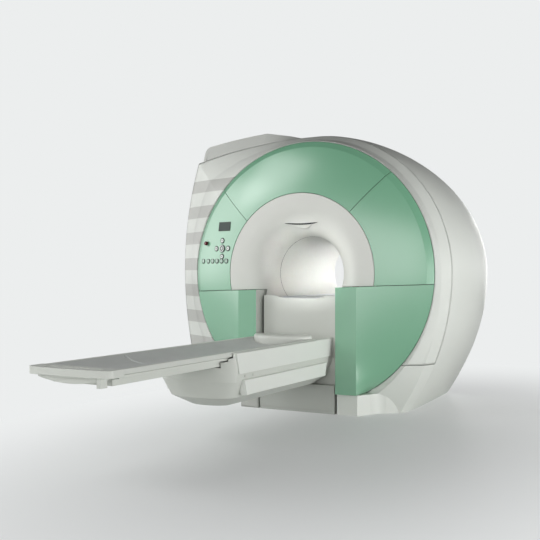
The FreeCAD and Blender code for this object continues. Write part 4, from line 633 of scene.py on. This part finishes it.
# a bright horizon under a dark ceiling lights the object, fading between the heights low and high
# of the direction; the camera sees the plain backdrop
sky = {"horizon": 1.0, "ceiling": 0.03, "low": -0.02, "high": 0.42, "colour": "#F4F5F5"}
direction = addNode(tree, "ShaderNodeSeparateXYZ",
                    {"Vector": addNode(tree, "ShaderNodeTexCoord").outputs["Generated"]})
strength = addNode(tree, "ShaderNodeMapRange", {"Value": direction.outputs["Z"]}, From_Min=sky["low"],
                   From_Max=sky["high"], To_Min=sky["horizon"], To_Max=sky["ceiling"],
                   interpolation_type="SMOOTHSTEP").outputs[0]
path = addNode(tree, "ShaderNodeLightPath")
seen = calc(tree, "MAXIMUM", path.outputs["Is Camera Ray"], path.outputs["Is Transmission Ray"])
lit = addNode(tree, "ShaderNodeBackground", {"Strength": strength})
lit.inputs["Color"].default_value = hexColour(sky["colour"])
shown = addNode(tree, "ShaderNodeBackground", Strength=1.0)
shown.inputs["Color"].default_value = hexColour(room["backdrop"])
both = addNode(tree, "ShaderNodeMixShader", {0: seen, 1: lit.outputs[0], 2: shown.outputs[0]})
addNode(tree, "ShaderNodeOutputWorld", {"Surface": both.outputs[0]})

lamps = {
    # place, aim, size, watts, spread in degrees
    "leftBank": ((-6.0, -3.4, 2.8), (-0.8, -0.7, 1.4), (4.6, 4.6), 165.0, 180),
    "highLeft": ((-4.2, -4.6, 5.2), (-0.5, -0.9, 1.1), (3.2, 3.2), 100.0, 180),
    "rightBank": ((6.2, -0.9, 0.9), (0.9, -0.2, 1.2), (3.4, 1.4), 180.0, 180),
    "frontFill": ((1.6, -9.0, 2.3), (0.0, -1.0, 0.9), (8.0, 4.0), 220.0, 180),
    "boreGlow": ((0.0, 0.72, 1.12), (0.0, -1.0, 1.0), (0.5, 0.5), 1.7, 180),
    "backFill": ((-1.5, 8.0, 1.6), (0.0, 0.8, 1.1), (5.0, 2.6), 90.0, 180),
    "boreFill": ((1.3, -4.0, 1.4), (-0.25, 0.1, 1.1), (0.3, 0.3), 1.4, 10),
}
for name, (place, aim, size, watts, spread) in lamps.items():
    data = bpy.data.lights.new(name, "AREA")
    data.shape = "RECTANGLE"
    data.size, data.size_y = size
    data.energy = watts
    data.spread = math.radians(spread)
    lamp = bpy.data.objects.new(name, data)
    lamp.location = place
    lamp.rotation_euler = (Vector(aim) - Vector(place)).to_track_quat("-Z", "Y").to_euler()
    lamp.visible_camera = False
    bpy.context.collection.objects.link(lamp)

# the photo's camera is level; focal length and film width are in millimetres
cameraView = {"place": (3.138, -6.960, 1.1115), "turn": 28.76, "focal": 58.487, "film": 36.0, "far": 200.0}
camera = bpy.data.objects.new("photoCamera", bpy.data.cameras.new("photoCamera"))
camera.data.sensor_width = cameraView["film"]
camera.data.lens = cameraView["focal"]
camera.location = cameraView["place"]
camera.rotation_euler = (math.radians(90), 0, math.radians(cameraView["turn"]))
camera.data.clip_end = cameraView["far"]
bpy.context.collection.objects.link(camera)
bpy.context.scene.camera = camera
bpy.context.scene.view_settings.view_transform = "Standard"
print("room, lights and camera")
